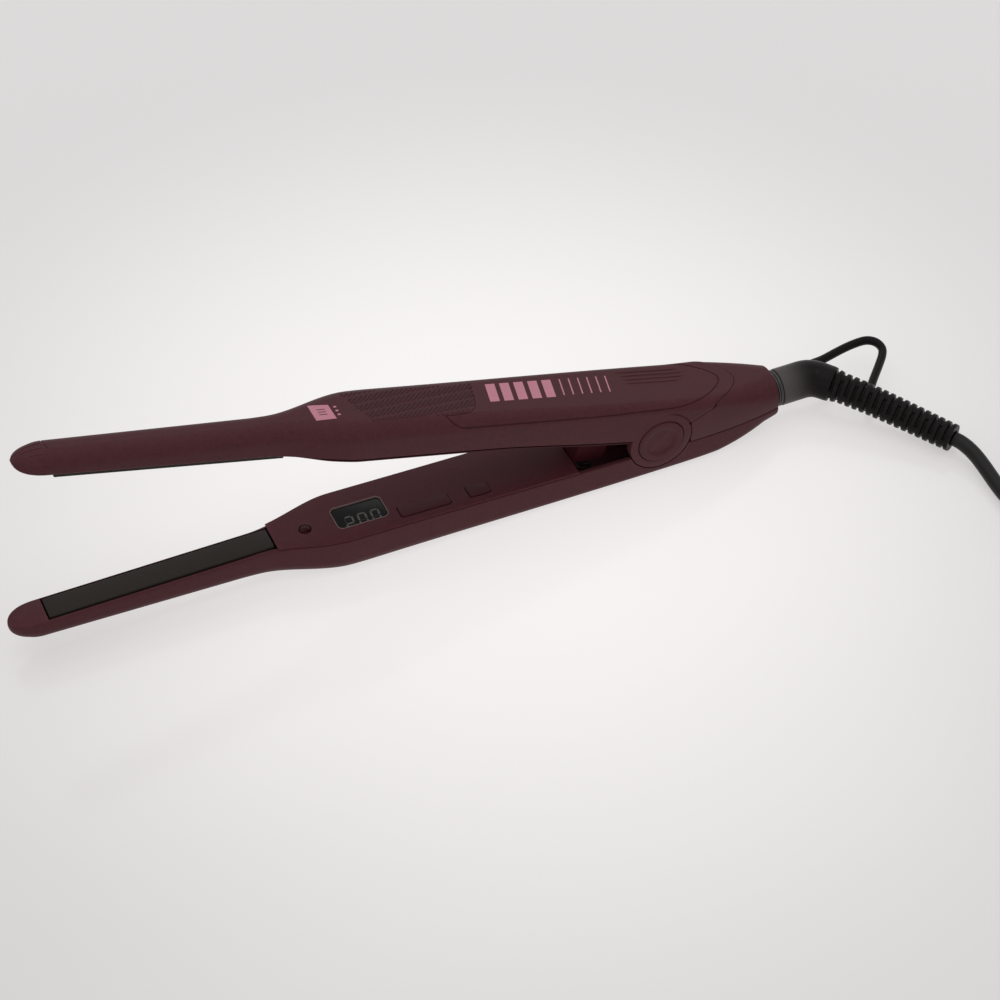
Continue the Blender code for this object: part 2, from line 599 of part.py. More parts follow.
for sx in (-74.0, 20.0):
    zt_ = MATE_Z + height(sx)
    add(upper_shell, cyl("p", "Z", (sx, 0), 2.9, rim_up(sx) + 1.05 - GAP - 0.0 + 0.3, zt_ - 0.8, 16))
    cut(upper_shell, cyl("c", "Z", (sx, 0), 1.35, MATE_Z, zt_ - 2.4, 14))

# Inner cover of the upper arm, and the shroud round the spring.
upper_cover = loft("upper_inner_cover", [panel_section(x, GAP, up=True, thick=0.9) for x in stations(PX0, 46.0)],
                   material("cover_plum", PLUM, 0.5))
for sx in (-74.0, 20.0):
    cut(upper_cover, cyl("c", "Z", (sx, 0), 1.5, 0, 30, 14))
    cut(upper_cover, cyl("c", "Z", (sx, 0), 2.6, 0, rim_up(sx) - GAP - 0.75 + 0.9, 18))
shroud = box("spring_shroud", 30.6, 43.4, -6.2, 6.2, 4.2, rim_up(37.0) - GAP - 0.75 - 0.3, material("shroud_plum", PLUM, 0.55))
cut(shroud, box("c", 31.8, 42.2, -5.0, 5.0, 2.0, 14.4))

up_screws = []
for sx in (-74.0, 20.0):
    zf = rim_up(sx) - GAP - 0.75
    up_screws.append(turned("s", [(0.02, zf + 0.12), (1.9, zf + 0.12), (2.2, zf + 0.4), (2.2, zf + 0.75), (1.05, zf + 0.85), (1.05, zf + 7.0), (0.02, zf + 7.8)],
                            "Z", (sx, 0), 14))
cover_screws = named(("cover_screw_front", "cover_screw_rear"), up_screws, material("screw_dark", (0.25, 0.25, 0.26), 0.35, 1.0))

upper_plate = mirrored(plate("upper_plate"))
upper_tray = mirrored(tray("upper_plate_tray"))
upper_heater = mirrored(heater("upper_heater"))
silicone = material("cushion_silicone", (0.45, 0.10, 0.08), 0.6)
cushion_f = box("plate_cushion_front", PLATE_X0 + 2.0, PLATE_X0 + 7.5, -2.3, 2.3, MATE_Z + 2.45, MATE_Z + 4.3, silicone, 0.2)
cushion_r = box("plate_cushion_rear", PLATE_X0 + PLATE_L - 7.5, PLATE_X0 + PLATE_L - 2.0, -2.3, 2.3, MATE_Z + 2.45, MATE_Z + 4.3, silicone, 0.2)

# ================================================================ SWIVEL
neck = turned("swivel_neck", [(0.02, 88.6), (3.6, 88.6), (4.4, 89.4), (4.4, 101.6), (7.6, 101.6), (7.6, 103.0), (6.75, 103.2), (6.75, 112.6), (6.4, 113.0), (0.02, 113.0)],
              "X", (0, CORD_AXIS_Z), 20, material("neck_black", (0.018, 0.017, 0.016), 0.3))
rs = []
for rx in (90.6, 94.1):
    r4 = []
    for r, x in ((4.4 + 0.3, rx), (5.4, rx), (5.4, rx + 1.4), (4.4 + 0.3, rx + 1.4)):
        r4.append([(x, p[0], p[1]) for p in circle(0, CORD_AXIS_Z, r, 16, 0.5)])
    rs.append(ring_loft("r", r4))
slip_rings = named(("slip_ring_live", "slip_ring_neutral"), rs, material("ring_brass", (0.75, 0.52, 0.20), 0.28, 1.0))

# Boot: elbow then ribbed strain relief along a gentle arc, lying down to the table.
E = Vector((ELBOW_X, 0.0, CORD_AXIS_Z))
B = Vector(BOOT_END)


def boot_path(n=38):
    """Centre line from the neck, round the elbow and along the strain relief."""
    flat = math.hypot(B.x - E.x, B.y - E.y)
    mean = math.atan2(E.y - B.y, B.x - E.x)
    half = math.radians(5.5)
    lo_, hi_ = mean - half, mean + half
    rad = flat / (2 * math.sin(half))
    pts = [Vector((113.3, 0, CORD_AXIS_Z)), Vector((118.0, 0, CORD_AXIS_Z)), Vector((123.2, 0, CORD_AXIS_Z))]
    # ---- elbow: a quadratic turn from the straight collar on to the arc
    def arc(t):
        a = lo_ + (hi_ - lo_) * t
        x = E.x + rad * (math.sin(a) - math.sin(lo_)) * 1.0
        y = E.y - rad * (math.cos(lo_) - math.cos(a)) * 1.0
        return Vector((x, y, 0))
    ax = arc(1.0) - arc(0.0)
    rot = math.atan2(B.y - E.y, B.x - E.x) - math.atan2(ax.y, ax.x)
    def relief(t):
        p = arc(t) - arc(0.0)
        q = Vector((p.x * math.cos(rot) - p.y * math.sin(rot), p.x * math.sin(rot) + p.y * math.cos(rot), 0)) + E
        s_ = smooth(0.0, 1.0, t)
        q.z = CORD_AXIS_Z + (B.z - CORD_AXIS_Z) * (0.5 * t + 0.5 * s_)
        return q
    a_, c_ = pts[-1].copy(), relief(0.071)
    for k in range(1, 6):
        u = k / 6.0
        pts.append(a_ * (1 - u) ** 2 + E * 2 * u * (1 - u) + c_ * u * u)
    pts.append(relief(0.09))
    for k in range(n + 1):
        pts.append(relief(0.13 + 0.87 * k / n))
    return pts


def sweep(name, pts, radii, n, mat):
    rings = []
    up = Vector((0, 0, 1))
    for i, p in enumerate(pts):
        a = pts[max(0, i - 1)]
        b = pts[min(len(pts) - 1, i + 1)]
        t = (b - a).normalized()
        s = t.cross(up).normalized()
        u = s.cross(t).normalized()
        rings.append([tuple(p + s * radii[i] * math.cos(2 * math.pi * (k + 0.5) / n) + u * radii[i] * math.sin(2 * math.pi * (k + 0.5) / n)) for k in range(n)])
    return loft(name, rings, mat)


RIBS = 17
path = boot_path(2 * RIBS + 4)
radii = []
for i in range(len(path)):
    k = i - 9
    if k < 4:
        radii.append(COLLAR_R - 0.06 * max(0, k + 2))
    else:
        t = (k - 4) / (2.0 * RIBS)
        base = 5.7 - 0.6 * t
        radii.append(base if (k % 2) else base - 1.0)
radii[-1] = 5.1
boot = sweep("cord_boot", path, radii, 12, material("boot_black", BLACK, 0.45))
core = sweep("c", [path[-1] + (path[-1] - path[-2]).normalized() * 1.0, path[-2], path[-5]], [CORD_D / 2 + 0.3] * 3, 14, None)
cut(boot, core)

# Hanging loop: a flat ring that stands out of the boot on the outside of its bend.
chord = Vector((B.x - E.x, B.y - E.y, 0)).normalized()
outw = Vector((-chord.y, chord.x, 0))
# ---- (along the boot, outwards) from the elbow, rounded at its two far corners
LOOP = ((-1.0, 7.9), (1.2, 13.0), (4.9, 21.2), (8.3, 27.1), (10.9, 29.8), (14.0, 30.4), (16.9, 28.7), (18.4, 25.2), (19.4, 19.3), (20.4, 12.0), (21.2, 7.2))
ctrl = [E + chord * a + outw * o + Vector((0, 0, -0.2 - 0.09 * a)) for a, o in LOOP]


def catmull(c, n):
    out = []
    for i in range(len(c) - 1):
        p0, p1, p2, p3 = c[max(0, i - 1)], c[i], c[i + 1], c[min(len(c) - 1, i + 2)]
        for k in range(n):
            t = k / n
            out.append(0.5 * ((2 * p1) + (p2 - p0) * t + (2 * p0 - 5 * p1 + 4 * p2 - p3) * t * t + (3 * p1 - 3 * p2 + p0 * 1 - p0 * 2 + p3) * 0 + (-p0 + 3 * p1 - 3 * p2 + p3) * t ** 3))
    out.append(c[-1].copy())
    return out


lp = catmull(ctrl, 2)
hanging_loop = sweep("hanging_loop", lp, [1.5] * len(lp), 8, material("loop_black", BLACK, 0.45))

# ================================================================ CORD, COIL, PLUG
# The cord leaves the boot, turns along the table and runs to a neat coil held by a tie.
tan = (path[-1] - path[-2]).normalized()
start = B + tan * 0.6
COIL_R_MID, COIL_HALF_W, COIL_HALF_H, COIL_Z = 28.5, 8.4, 10.6, 12.0


def cord_route():
    """Out of the boot, down on to the table, then straight to the side of the coil."""
    z = CORD_D / 2 + 0.05
    p0 = start
    p3 = Vector((165.6, -74.0, z))
    p1 = p0 + tan * 9.0
    p2 = p3 + Vector((0.0, 1.0, 0.0)) * 12.0
    end = Vector((COIL_C[0] - COIL_R_MID - COIL_HALF_W - CORD_D / 2 - GAP, COIL_C[1], z))
    q1 = p3 - Vector((0.0, 1.0, 0.0)) * 11.0
    q2 = end + Vector((0.0, 1.0, 0.0)) * 11.0
    pts = []
    for k in range(12):
        t = k / 12.0
        pts.append(p0 * (1 - t) ** 3 + p1 * 3 * t * (1 - t) ** 2 + p2 * 3 * t * t * (1 - t) + p3 * t ** 3)
    for k in range(9):
        t = k / 8.0
        pts.append(p3 * (1 - t) ** 3 + q1 * 3 * t * (1 - t) ** 2 + q2 * 3 * t * t * (1 - t) + end * t ** 3)
    return pts


route = cord_route()
cv = bpy.data.curves.new("cord_run", "CURVE")
cv.dimensions = "3D"
sp = cv.splines.new("POLY")
sp.points.add(len(route) - 1)
for q, p in zip(sp.points, route):
    q.co = (p.x * 0.001, p.y * 0.001, max(p.z, CORD_D / 2 + 0.05) * 0.001, 1.0)
cv.bevel_depth = CORD_D / 2 * 0.001
cv.bevel_resolution = 2
cv.use_fill_caps = True
cord_run = bpy.data.objects.new("cord_run", cv)
bpy.context.scene.collection.objects.link(cord_run)
cv.materials.append(material("cord_black", BLACK, 0.5))

cx, cy = COIL_C
rings = []
for i in range(32):
    a = 2 * math.pi * i / 32
    ring = []
    for k in range(10):
        b = 2 * math.pi * k / 10
        rr = COIL_R_MID + COIL_HALF_W * math.copysign(abs(math.cos(b)) ** 0.8, math.cos(b))
        zz = COIL_Z + COIL_HALF_H * math.copysign(abs(math.sin(b)) ** 0.8, math.sin(b))
        ring.append((cx + rr * math.cos(a), cy + rr * math.sin(a), zz))
    rings.append(ring)
cord_coil = ring_loft("cord_coil", rings, material("coil_black", BLACK, 0.5))

plug_m = material("plug_black", BLACK, 0.4)
PLUG_Z = COIL_Z + COIL_HALF_H + 0.35
px, py = cx, cy
plug = loft("plug_body", [[(px + x_, py + yy, PLUG_Z + 5.9 + zz) for yy, zz in sec] for x_, sec in (
    (-20.0, circle(0, -1.8, 3.6, 16)), (-8.0, circle(0, -1.4, 4.2, 16)), (-2.0, [(y_ * 1.9, z_) for y_, z_ in circle(0, 0, 5.6, 16)]),
    (14.0, [(y_ * 2.15, z_) for y_, z_ in circle(0, 0, 5.7, 16)]), (17.0, [(y_ * 2.0, z_) for y_, z_ in circle(0, 0, 5.2, 16)]))], plug_m)
pins = [turned("p", [(0.02, px + 17.3), (2.0, px + 17.3), (2.0, px + 33.5), (1.2, px + 35.5), (0.02, px + 35.6)], "X", (py + s * 9.3, PLUG_Z + 5.9), 14) for s in (-1, 1)]
named(("plug_pin_live", "plug_pin_neutral"), pins, material("pin_nickel", (0.65, 0.65, 0.66), 0.25, 1.0))

# Tie: a closed band round the bundle on the side away from the lead-in.
band = []
ta = math.radians(60.0)
for i in range(20):
    b = 2 * math.pi * i / 20
    rr = COIL_R_MID + (COIL_HALF_W + 0.9) * math.copysign(abs(math.cos(b)) ** 0.8, math.cos(b))
    zz = COIL_Z + (COIL_HALF_H + 0.9) * math.copysign(abs(math.sin(b)) ** 0.8, math.sin(b))
    ring = []
    er = Vector((math.cos(ta), math.sin(ta), 0))
    et = Vector((-math.sin(ta), math.cos(ta), 0))
    cpt = Vector((cx, cy, 0)) + er * rr + Vector((0, 0, zz))
    nrm = (er * math.cos(b) + Vector((0, 0, 1)) * math.sin(b))
    for du, dn in ((-2.5, -0.35), (2.5, -0.35), (2.5, 0.35), (-2.5, 0.35)):
        ring.append(tuple(cpt + et * du + nrm * dn))
    band.append(ring)
cord_tie = ring_loft("cord_tie", band, material("tie_black", (0.02, 0.02, 0.02), 0.6))


# ================================================================ joints: origins on their axes
def empty(name, loc):
    e = bpy.data.objects.new(name, None)
    e.empty_display_size = 0.01
    e.location = loc
    bpy.context.scene.collection.objects.link(e)
    return e


def hang(ob, parent, origin):
    """Give ob the origin (mm) as its local zero and hang it under a parent empty there."""
    ob.data.transform(Matrix.Translation(-Vector(origin) * 0.001))
    if parent is None:
        ob.location = Vector(origin) * 0.001
    else:
        ob.parent = parent
    return ob


arm_axis = empty("upper_arm_axis", H * 0.001)
for ob in [upper_shell, upper_cover, shroud, upper_tray, cushion_f, cushion_r] + cover_screws:
    hang(ob, arm_axis, H)
plate_axis = empty("upper_plate_axis", (0, 0, 0))
plate_axis.parent = arm_axis
PC = Vector((PLATE_X0 + PLATE_L / 2, 0, MATE_Z + 1.5))
plate_axis.location = (PC - H) * 0.001
for ob in (upper_plate, upper_heater):
    hang(ob, plate_axis, PC)
arm_axis.rotation_euler = (0, TH, 0)

ROCK_C = (0.5 * (ROCK[0] + ROCK[1]), 0.5 * (ROCK[2] + ROCK[3]), panel_top(0.5 * (ROCK[0] + ROCK[1])) - 1.6)
POW_C = (0.5 * (POWR[0] + POWR[1]), 0.5 * (POWR[2] + POWR[3]), panel_top(0.5 * (POWR[0] + POWR[1])))
hang(rocker, None, ROCK_C)
hang(power, None, POW_C)
for ob in [neck, boot, hanging_loop] + slip_rings:
    hang(ob, None, (113.0, 0.0, CORD_AXIS_Z))
bpy.context.view_layer.update()
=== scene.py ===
# Flat iron (pencil hair straightener), standing open on a pale floor.
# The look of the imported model: finely modelled casings, buttons, boot, cord and plug in
# the CAD's own frame, with procedural materials. Lengths below are in millimetres.
import bpy
import bmesh
import math
from mathutils import Vector, Matrix


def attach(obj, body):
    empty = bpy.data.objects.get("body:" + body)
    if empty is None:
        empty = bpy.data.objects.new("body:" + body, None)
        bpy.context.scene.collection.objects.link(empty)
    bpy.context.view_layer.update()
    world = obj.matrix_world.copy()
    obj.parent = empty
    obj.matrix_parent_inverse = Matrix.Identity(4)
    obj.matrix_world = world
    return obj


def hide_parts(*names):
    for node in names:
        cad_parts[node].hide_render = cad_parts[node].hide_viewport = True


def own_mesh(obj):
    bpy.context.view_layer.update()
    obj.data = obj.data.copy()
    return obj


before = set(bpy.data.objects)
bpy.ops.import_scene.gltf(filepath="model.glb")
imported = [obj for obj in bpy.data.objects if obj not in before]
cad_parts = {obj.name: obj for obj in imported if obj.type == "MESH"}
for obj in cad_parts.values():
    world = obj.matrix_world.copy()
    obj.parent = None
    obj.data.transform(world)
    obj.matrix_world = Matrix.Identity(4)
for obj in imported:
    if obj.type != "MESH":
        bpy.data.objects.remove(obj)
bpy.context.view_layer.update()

MM = 0.001

# ------------------------------------------------------------------ dimensions shared with the CAD
OPEN_DEG, HINGE_X, MATE_Z = 15.94, 60.0, 16.3
X_TIP, X_REAR = -176.8, 110.0
PLATE_X0, PLATE_L, PLATE_W, PLATE_GAP = -163.45, 80.0, 9.0, 0.30
W_BARREL, W_HANDLE, W_END, T_HANDLE, WALL = 6.2, 12.3, 4.1, 16.3, 1.6
EAR_R, CAP_R, PIN_R, COLLAR_R = 12.0, 8.75, 2.4, 6.9
CORD_AXIS_Z, CORD_D, CORD_LENGTH, GAP = 11.7, 5.4, 1.8, 0.30
COVER_END_X, BOOT_END, ELBOW_X, COIL_C = 28.0, (162.1, -44.3, 5.6), 127.2, (212.0, -104.0)
DISP = (-60.2, -41.6, -6.3, 4.1)
ROCK = (-38.4, -19.2, -9.4, -3.6)
POWR = (-12.6, -4.2, -9.4, -3.6)
LED = (-71.0, -1.2)
H = Vector((HINGE_X, 0.0, MATE_Z))
TH = math.radians(OPEN_DEG)

# ------------------------------------------------------------------ camera first
cam_data = bpy.data.cameras.new("camera")
cam = bpy.data.objects.new("camera", cam_data)
bpy.context.scene.collection.objects.link(cam)
EL, PSI, DIST = math.radians(44.823), math.radians(24.2554), 0.9827
look = Vector((0.0029654, 0.0, -0.0010359))
fwd = Vector((math.sin(PSI) * math.cos(EL), math.cos(PSI) * math.cos(EL), -math.sin(EL)))
cam.location = look - fwd * DIST
cam.rotation_euler = (math.pi / 2 - EL, 0.0, -PSI)
cam_data.sensor_width = 36.0
cam_data.lens = 99.45
cam_data.clip_start = 0.01
bpy.context.scene.camera = cam


# ------------------------------------------------------------------ materials
def srgb(r, g, b):
    def f(c):
        c = c / 255.0
        return c / 12.92 if c <= 0.04045 else ((c + 0.055) / 1.055) ** 2.4
    return (f(r), f(g), f(b))


def surface(name, rgb, rough=0.5, metal=0.0, vary=0.12, vary_mm=6.0, grain_mm=0.35, bump=0.12, rough_vary=0.10,
            stretch=(1, 1, 1), coat=0.0, sheen=0.0, specular=0.5, speck=0.0, dist=0.05, edge=0.0):
    """A finished surface: colour that drifts over the piece, a fine grain in the bump and a
    roughness that follows both. stretch draws the grain out along an axis."""
    m = bpy.data.materials.new(name)
    m.use_nodes = True
    nt = m.node_tree
    N, L = nt.nodes, nt.links
    b = N["Principled BSDF"]
    b.inputs["Metallic"].default_value = metal
    b.inputs["Coat Weight"].default_value = coat
    b.inputs["Coat Roughness"].default_value = 0.08
    b.inputs["Sheen Weight"].default_value = sheen
    b.inputs["Sheen Roughness"].default_value = 0.45
    b.inputs["Specular IOR Level"].default_value = specular
    tc = N.new("ShaderNodeTexCoord")
    mp = N.new("ShaderNodeMapping")
    mp.inputs["Scale"].default_value = (1000.0 * stretch[0], 1000.0 * stretch[1], 1000.0 * stretch[2])
    L.new(tc.outputs["Object"], mp.inputs["Vector"])
    broad = N.new("ShaderNodeTexNoise")
    broad.inputs["Scale"].default_value = 1.0 / vary_mm
    broad.inputs["Detail"].default_value = 4.0
    L.new(mp.outputs["Vector"], broad.inputs["Vector"])
    fine = N.new("ShaderNodeTexNoise")
    fine.inputs["Scale"].default_value = 1.0 / grain_mm
    fine.inputs["Detail"].default_value = 3.0
    fine.inputs["Roughness"].default_value = 0.6
    L.new(mp.outputs["Vector"], fine.inputs["Vector"])
    both = N.new("ShaderNodeMix")
    both.data_type = "FLOAT"
    both.inputs[0].default_value = 0.74
    L.new(broad.outputs["Fac"], both.inputs[2])
    L.new(fine.outputs["Fac"], both.inputs[3])
    ramp = N.new("ShaderNodeValToRGB")
    ramp.color_ramp.elements[0].position = 0.32
    ramp.color_ramp.elements[1].position = 0.68
    ramp.color_ramp.elements[0].color = tuple(c * (1 - vary) for c in rgb) + (1.0,)
    ramp.color_ramp.elements[1].color = tuple(min(1.0, c * (1 + vary)) for c in rgb) + (1.0,)
    L.new(both.outputs[0], ramp.inputs["Fac"])
    colour = ramp.outputs["Color"]
    if speck:
        sp = N.new("ShaderNodeTexVoronoi")
        sp.inputs["Scale"].default_value = 1.0 / 0.9
        L.new(mp.outputs["Vector"], sp.inputs["Vector"])
        sr = N.new("ShaderNodeMapRange")
        sr.inputs["From Min"].default_value = 0.05
        sr.inputs["From Max"].default_value = 0.16
        sr.inputs["To Min"].default_value = speck
        sr.inputs["To Max"].default_value = 0.0
        L.new(sp.outputs["Distance"], sr.inputs["Value"])
        mx = N.new("ShaderNodeMix")
        mx.data_type = "RGBA"
        mx.inputs[7].default_value = tuple(min(1.0, c * 2.2 + 0.02) for c in rgb) + (1.0,)
        L.new(sr.outputs["Result"], mx.inputs[0])
        L.new(colour, mx.inputs[6])
        colour = mx.outputs[2]
    if edge:
        geo = N.new("ShaderNodeNewGeometry")
        er = N.new("ShaderNodeMapRange")
        er.inputs["From Min"].default_value = 0.52
        er.inputs["From Max"].default_value = 0.62
        er.inputs["To Max"].default_value = edge
        L.new(geo.outputs["Pointiness"], er.inputs["Value"])
        me_ = N.new("ShaderNodeMix")
        me_.data_type = "RGBA"
        me_.inputs[7].default_value = tuple(min(1.0, c * 1.7 + 0.01) for c in rgb) + (1.0,)
        L.new(er.outputs["Result"], me_.inputs[0])
        L.new(colour, me_.inputs[6])
        colour = me_.outputs[2]
    L.new(colour, b.inputs["Base Color"])
    rr = N.new("ShaderNodeMapRange")
    rr.inputs["From Min"].default_value = 0.3
    rr.inputs["From Max"].default_value = 0.7
    rr.inputs["To Min"].default_value = max(0.02, rough - rough_vary)
    rr.inputs["To Max"].default_value = min(1.0, rough + rough_vary)
    L.new(both.outputs[0], rr.inputs["Value"])
    L.new(rr.outputs["Result"], b.inputs["Roughness"])
    if bump:
        bp = N.new("ShaderNodeBump")
        bp.inputs["Strength"].default_value = bump
        bp.inputs["Distance"].default_value = dist * MM
        L.new(fine.outputs["Fac"], bp.inputs["Height"])
        L.new(bp.outputs["Normal"], b.inputs["Normal"])
    return m


PLUM = srgb(71, 41, 45)
plum = surface("visual_soft_plum", srgb(68, 33, 37), 0.50, vary=0.26, vary_mm=2.2, grain_mm=0.42, bump=0.28, rough_vary=0.07, specular=0.12, edge=0.20)
plum_panel = surface("visual_panel_plum", srgb(70, 32, 37), 0.48, vary=0.22, vary_mm=2.0, grain_mm=0.40, bump=0.22, rough_vary=0.06, specular=0.11, edge=0.20)
plum_button = surface("visual_button_plum", srgb(63, 27, 32), 0.44, vary=0.16, vary_mm=2.0, grain_mm=0.35, bump=0.15, rough_vary=0.06, specular=0.12, edge=0.25)
plum_inner = surface("visual_inner_plum", srgb(54, 18, 23), 0.55, vary=0.12, vary_mm=3.0, grain_mm=0.3, bump=0.2, specular=0.10)
grip_m = surface("visual_grip_plum", srgb(60, 29, 34), 0.52, vary=0.16, vary_mm=1.5, grain_mm=0.30, bump=0.2, specular=0.12, edge=0.22)
pink = surface("visual_pink_print", srgb(178, 117, 131), 0.42, specular=0.15, vary=0.07, vary_mm=1.6, grain_mm=0.22, bump=0.10, rough_vary=0.06)
ink = surface("visual_dark_ink", srgb(96, 52, 62), 0.45, specular=0.15, vary=0.06, grain_mm=0.2, bump=0.05)
ceramic = surface("visual_plate_ceramic", srgb(39, 33, 29), 0.40, vary=0.10, vary_mm=3.0, grain_mm=0.5, bump=0.05, stretch=(0.06, 1.3, 1), rough_vary=0.06, specular=0.10)
tray_m = surface("visual_tray_black", srgb(16, 14, 14), 0.6, vary=0.2, grain_mm=0.4, bump=0.15, specular=0.12)
glass = surface("visual_display_black", srgb(13, 12, 11), 0.16, vary=0.10, vary_mm=9.0, grain_mm=4.0, bump=0.004, rough_vary=0.03, specular=0.12)
digit_m = surface("visual_digit_grey", srgb(82, 79, 74), 0.35, specular=0.12, vary=0.08, vary_mm=1.0, grain_mm=0.3, bump=0.02)
ghost_m = surface("visual_digit_unlit", srgb(22, 21, 21), 0.3, specular=0.14, vary=0.08, vary_mm=1.0, grain_mm=0.3, bump=0.02)
bezel_m = surface("visual_bezel", srgb(112, 92, 90), 0.34, specular=0.25, vary=0.08, vary_mm=2.0, grain_mm=0.3, bump=0.05, rough_vary=0.05)
led_m = surface("visual_led_red", srgb(44, 3, 6), 0.22, vary=0.30, vary_mm=0.9, grain_mm=1.5, bump=0.03, rough_vary=0.04, specular=0.10)
boot_m = surface("visual_boot_black", srgb(17, 14, 13), 0.36, vary=0.25, vary_mm=3.0, grain_mm=0.35, bump=0.14, rough_vary=0.08, specular=0.09, edge=0.3)
# The swivel neck is coloured a paler grey than the boot: a painted highlight.
neck_highlight_m = surface("visual_neck_painted_highlight", srgb(52, 49, 48), 0.30, vary=0.14, vary_mm=2.0, grain_mm=0.3, bump=0.08, specular=0.4, edge=0.4)
cord_m = surface("visual_cord_black", srgb(26, 24, 23), 0.44, vary=0.20, vary_mm=5.0, grain_mm=0.45, bump=0.14, rough_vary=0.08, specular=0.18)
plug_m = surface("visual_plug_black", srgb(28, 27, 26), 0.40, vary=0.16, vary_mm=3.0, grain_mm=0.35, bump=0.14, edge=0.4)
nickel = surface("visual_pin_nickel", (0.60, 0.60, 0.61), 0.24, metal=1.0, vary=0.08, grain_mm=0.12, bump=0.05, stretch=(0.15, 1, 1), rough_vary=0.08)
steel = surface("visual_steel", (0.50, 0.50, 0.51), 0.30, metal=1.0, vary=0.10, grain_mm=0.15, bump=0.06, rough_vary=0.10)
# Spring steel darkened to near black: painted shade of the dark inside between the arms.
spring_m = surface("visual_spring_steel", (0.06, 0.058, 0.056), 0.34, metal=0.7, vary=0.15, grain_mm=0.15, bump=0.06, rough_vary=0.10, specular=0.3)
# near-black fill in the gaps round the keys: painted shade
gap_shade_m = surface("visual_gap_painted_shade", srgb(14, 9, 10), 0.7, vary=0.2, grain_mm=0.3, bump=0.1, specular=0.08)
screw_m = surface("visual_screw_steel", (0.24, 0.24, 0.25), 0.36, metal=1.0, vary=0.14, grain_mm=0.15, bump=0.08, rough_vary=0.10)


def painted_collar_highlight(m):
    """Painted highlight on the boot's collar: a paler satin grey next to the casing that fades to the boot's black
    towards the elbow.
    """
    nt = m.node_tree
    b = nt.nodes["Principled BSDF"]
    tc = next(n for n in nt.nodes if n.bl_idname == "ShaderNodeTexCoord")
    sx = nt.nodes.new("ShaderNodeSeparateXYZ")
    nt.links.new(tc.outputs["Object"], sx.inputs["Vector"])
    mr = nt.nodes.new("ShaderNodeMapRange")
    mr.interpolation_type = "SMOOTHSTEP"
    mr.inputs["From Min"].default_value = 0.1135
    mr.inputs["From Max"].default_value = 0.1265
    mr.inputs["To Min"].default_value = 0.75
    mr.inputs["To Max"].default_value = 0.0
    nt.links.new(sx.outputs["X"], mr.inputs["Value"])
    mx = nt.nodes.new("ShaderNodeMix")
    mx.data_type = "RGBA"
    # pale grey of the painted highlight on the collar
    mx.inputs[7].default_value = srgb(84, 80, 78) + (1.0,)
    old = b.inputs["Base Color"].links[0].from_socket
    nt.links.new(old, mx.inputs[6])
    nt.links.new(mr.outputs["Result"], mx.inputs[0])
    nt.links.new(mx.outputs[2], b.inputs["Base Color"])


# paints a highlight on the collar's casing end
painted_collar_highlight(boot_m)


def woven():
    """Hook and loop tape: a fine woven ground with a nap."""
    m = surface("visual_tie_fabric", srgb(30, 29, 30), 0.85, vary=0.3, vary_mm=0.8, grain_mm=0.2, bump=0.5, dist=0.2, sheen=0.4)
    nt = m.node_tree
    w = nt.nodes.new("ShaderNodeTexWave")
    w.inputs["Scale"].default_value = 900.0
    w.inputs["Distortion"].default_value = 1.2
    tc = next(n for n in nt.nodes if n.bl_idname == "ShaderNodeTexCoord")
    nt.links.new(tc.outputs["Object"], w.inputs["Vector"])
    b0 = next(n for n in nt.nodes if n.bl_idname == "ShaderNodeBump")
    b1 = nt.nodes.new("ShaderNodeBump")
    b1.inputs["Strength"].default_value = 0.6
    b1.inputs["Distance"].default_value = 0.15 * MM
    nt.links.new(w.outputs["Fac"], b1.inputs["Height"])
    nt.links.new(b0.outputs["Normal"], b1.inputs["Normal"])
    nt.links.new(b1.outputs["Normal"], nt.nodes["Principled BSDF"].inputs["Normal"])
    return m


tie_m = woven()


# ------------------------------------------------------------------ mesh helpers
def solid(name, verts, faces, mat=None, sharp=32.0):
    me = bpy.data.meshes.new(name)
    me.from_pydata([(v[0] * MM, v[1] * MM, v[2] * MM) for v in verts], [], faces)
    bm = bmesh.new()
    bm.from_mesh(me)
    bmesh.ops.remove_doubles(bm, verts=bm.verts, dist=1e-6)
    bmesh.ops.recalc_face_normals(bm, faces=bm.faces)
    bm.to_mesh(me)
    bm.free()
    ob = bpy.data.objects.new(name, me)
    bpy.context.scene.collection.objects.link(ob)
    if mat is not None:
        me.materials.append(mat)
    soften(ob, sharp)
    return ob


def soften(ob, sharp=32.0):
    ob.data.shade_smooth()
    ob.data.set_sharp_from_angle(angle=math.radians(sharp))
    return ob


def loft(name, rings, mat=None, closed=False, sharp=32.0):
    n = len(rings[0])
    verts = [p for r in rings for p in r]
    faces = []
    for k in range(len(rings) - (0 if closed else 1)):
        a, b = k * n, ((k + 1) % len(rings)) * n
        for i in range(n):
            j = (i + 1) % n
            faces.append((a + i, a + j, b + j, b + i))
    if not closed:
        faces.append(tuple(reversed(range(n))))
        faces.append(tuple(range((len(rings) - 1) * n, len(rings) * n)))
    return solid(name, verts, faces, mat, sharp)


def prism(name, poly, lo, hi, axis="Y", mat=None):
    def pt(p, h):
        return (p[0], h, p[1]) if axis == "Y" else ((p[0], p[1], h) if axis == "Z" else (h, p[0], p[1]))
    return loft(name, [[pt(p, lo) for p in poly], [pt(p, hi) for p in poly]], mat)


def circle(cx, cy, r, n):
    return [(cx + r * math.cos(2 * math.pi * (i + 0.5) / n), cy + r * math.sin(2 * math.pi * (i + 0.5) / n)) for i in range(n)]


def cyl(axis, c, r, lo, hi, n=64):
    return prism("c", circle(c[0], c[1], r, n), lo, hi, axis)


def turned(name, profile, axis, c, n=64, mat=None, sharp=32.0):
    rings = []
    for r, h in profile:
        r = max(r, 0.01)
        rings.append([(p[0], h, p[1]) if axis == "Y" else ((p[0], p[1], h) if axis == "Z" else (h, p[0], p[1]))
                      for p in circle(c[0], c[1], r, n)])
    return loft(name, rings, mat, sharp=sharp)


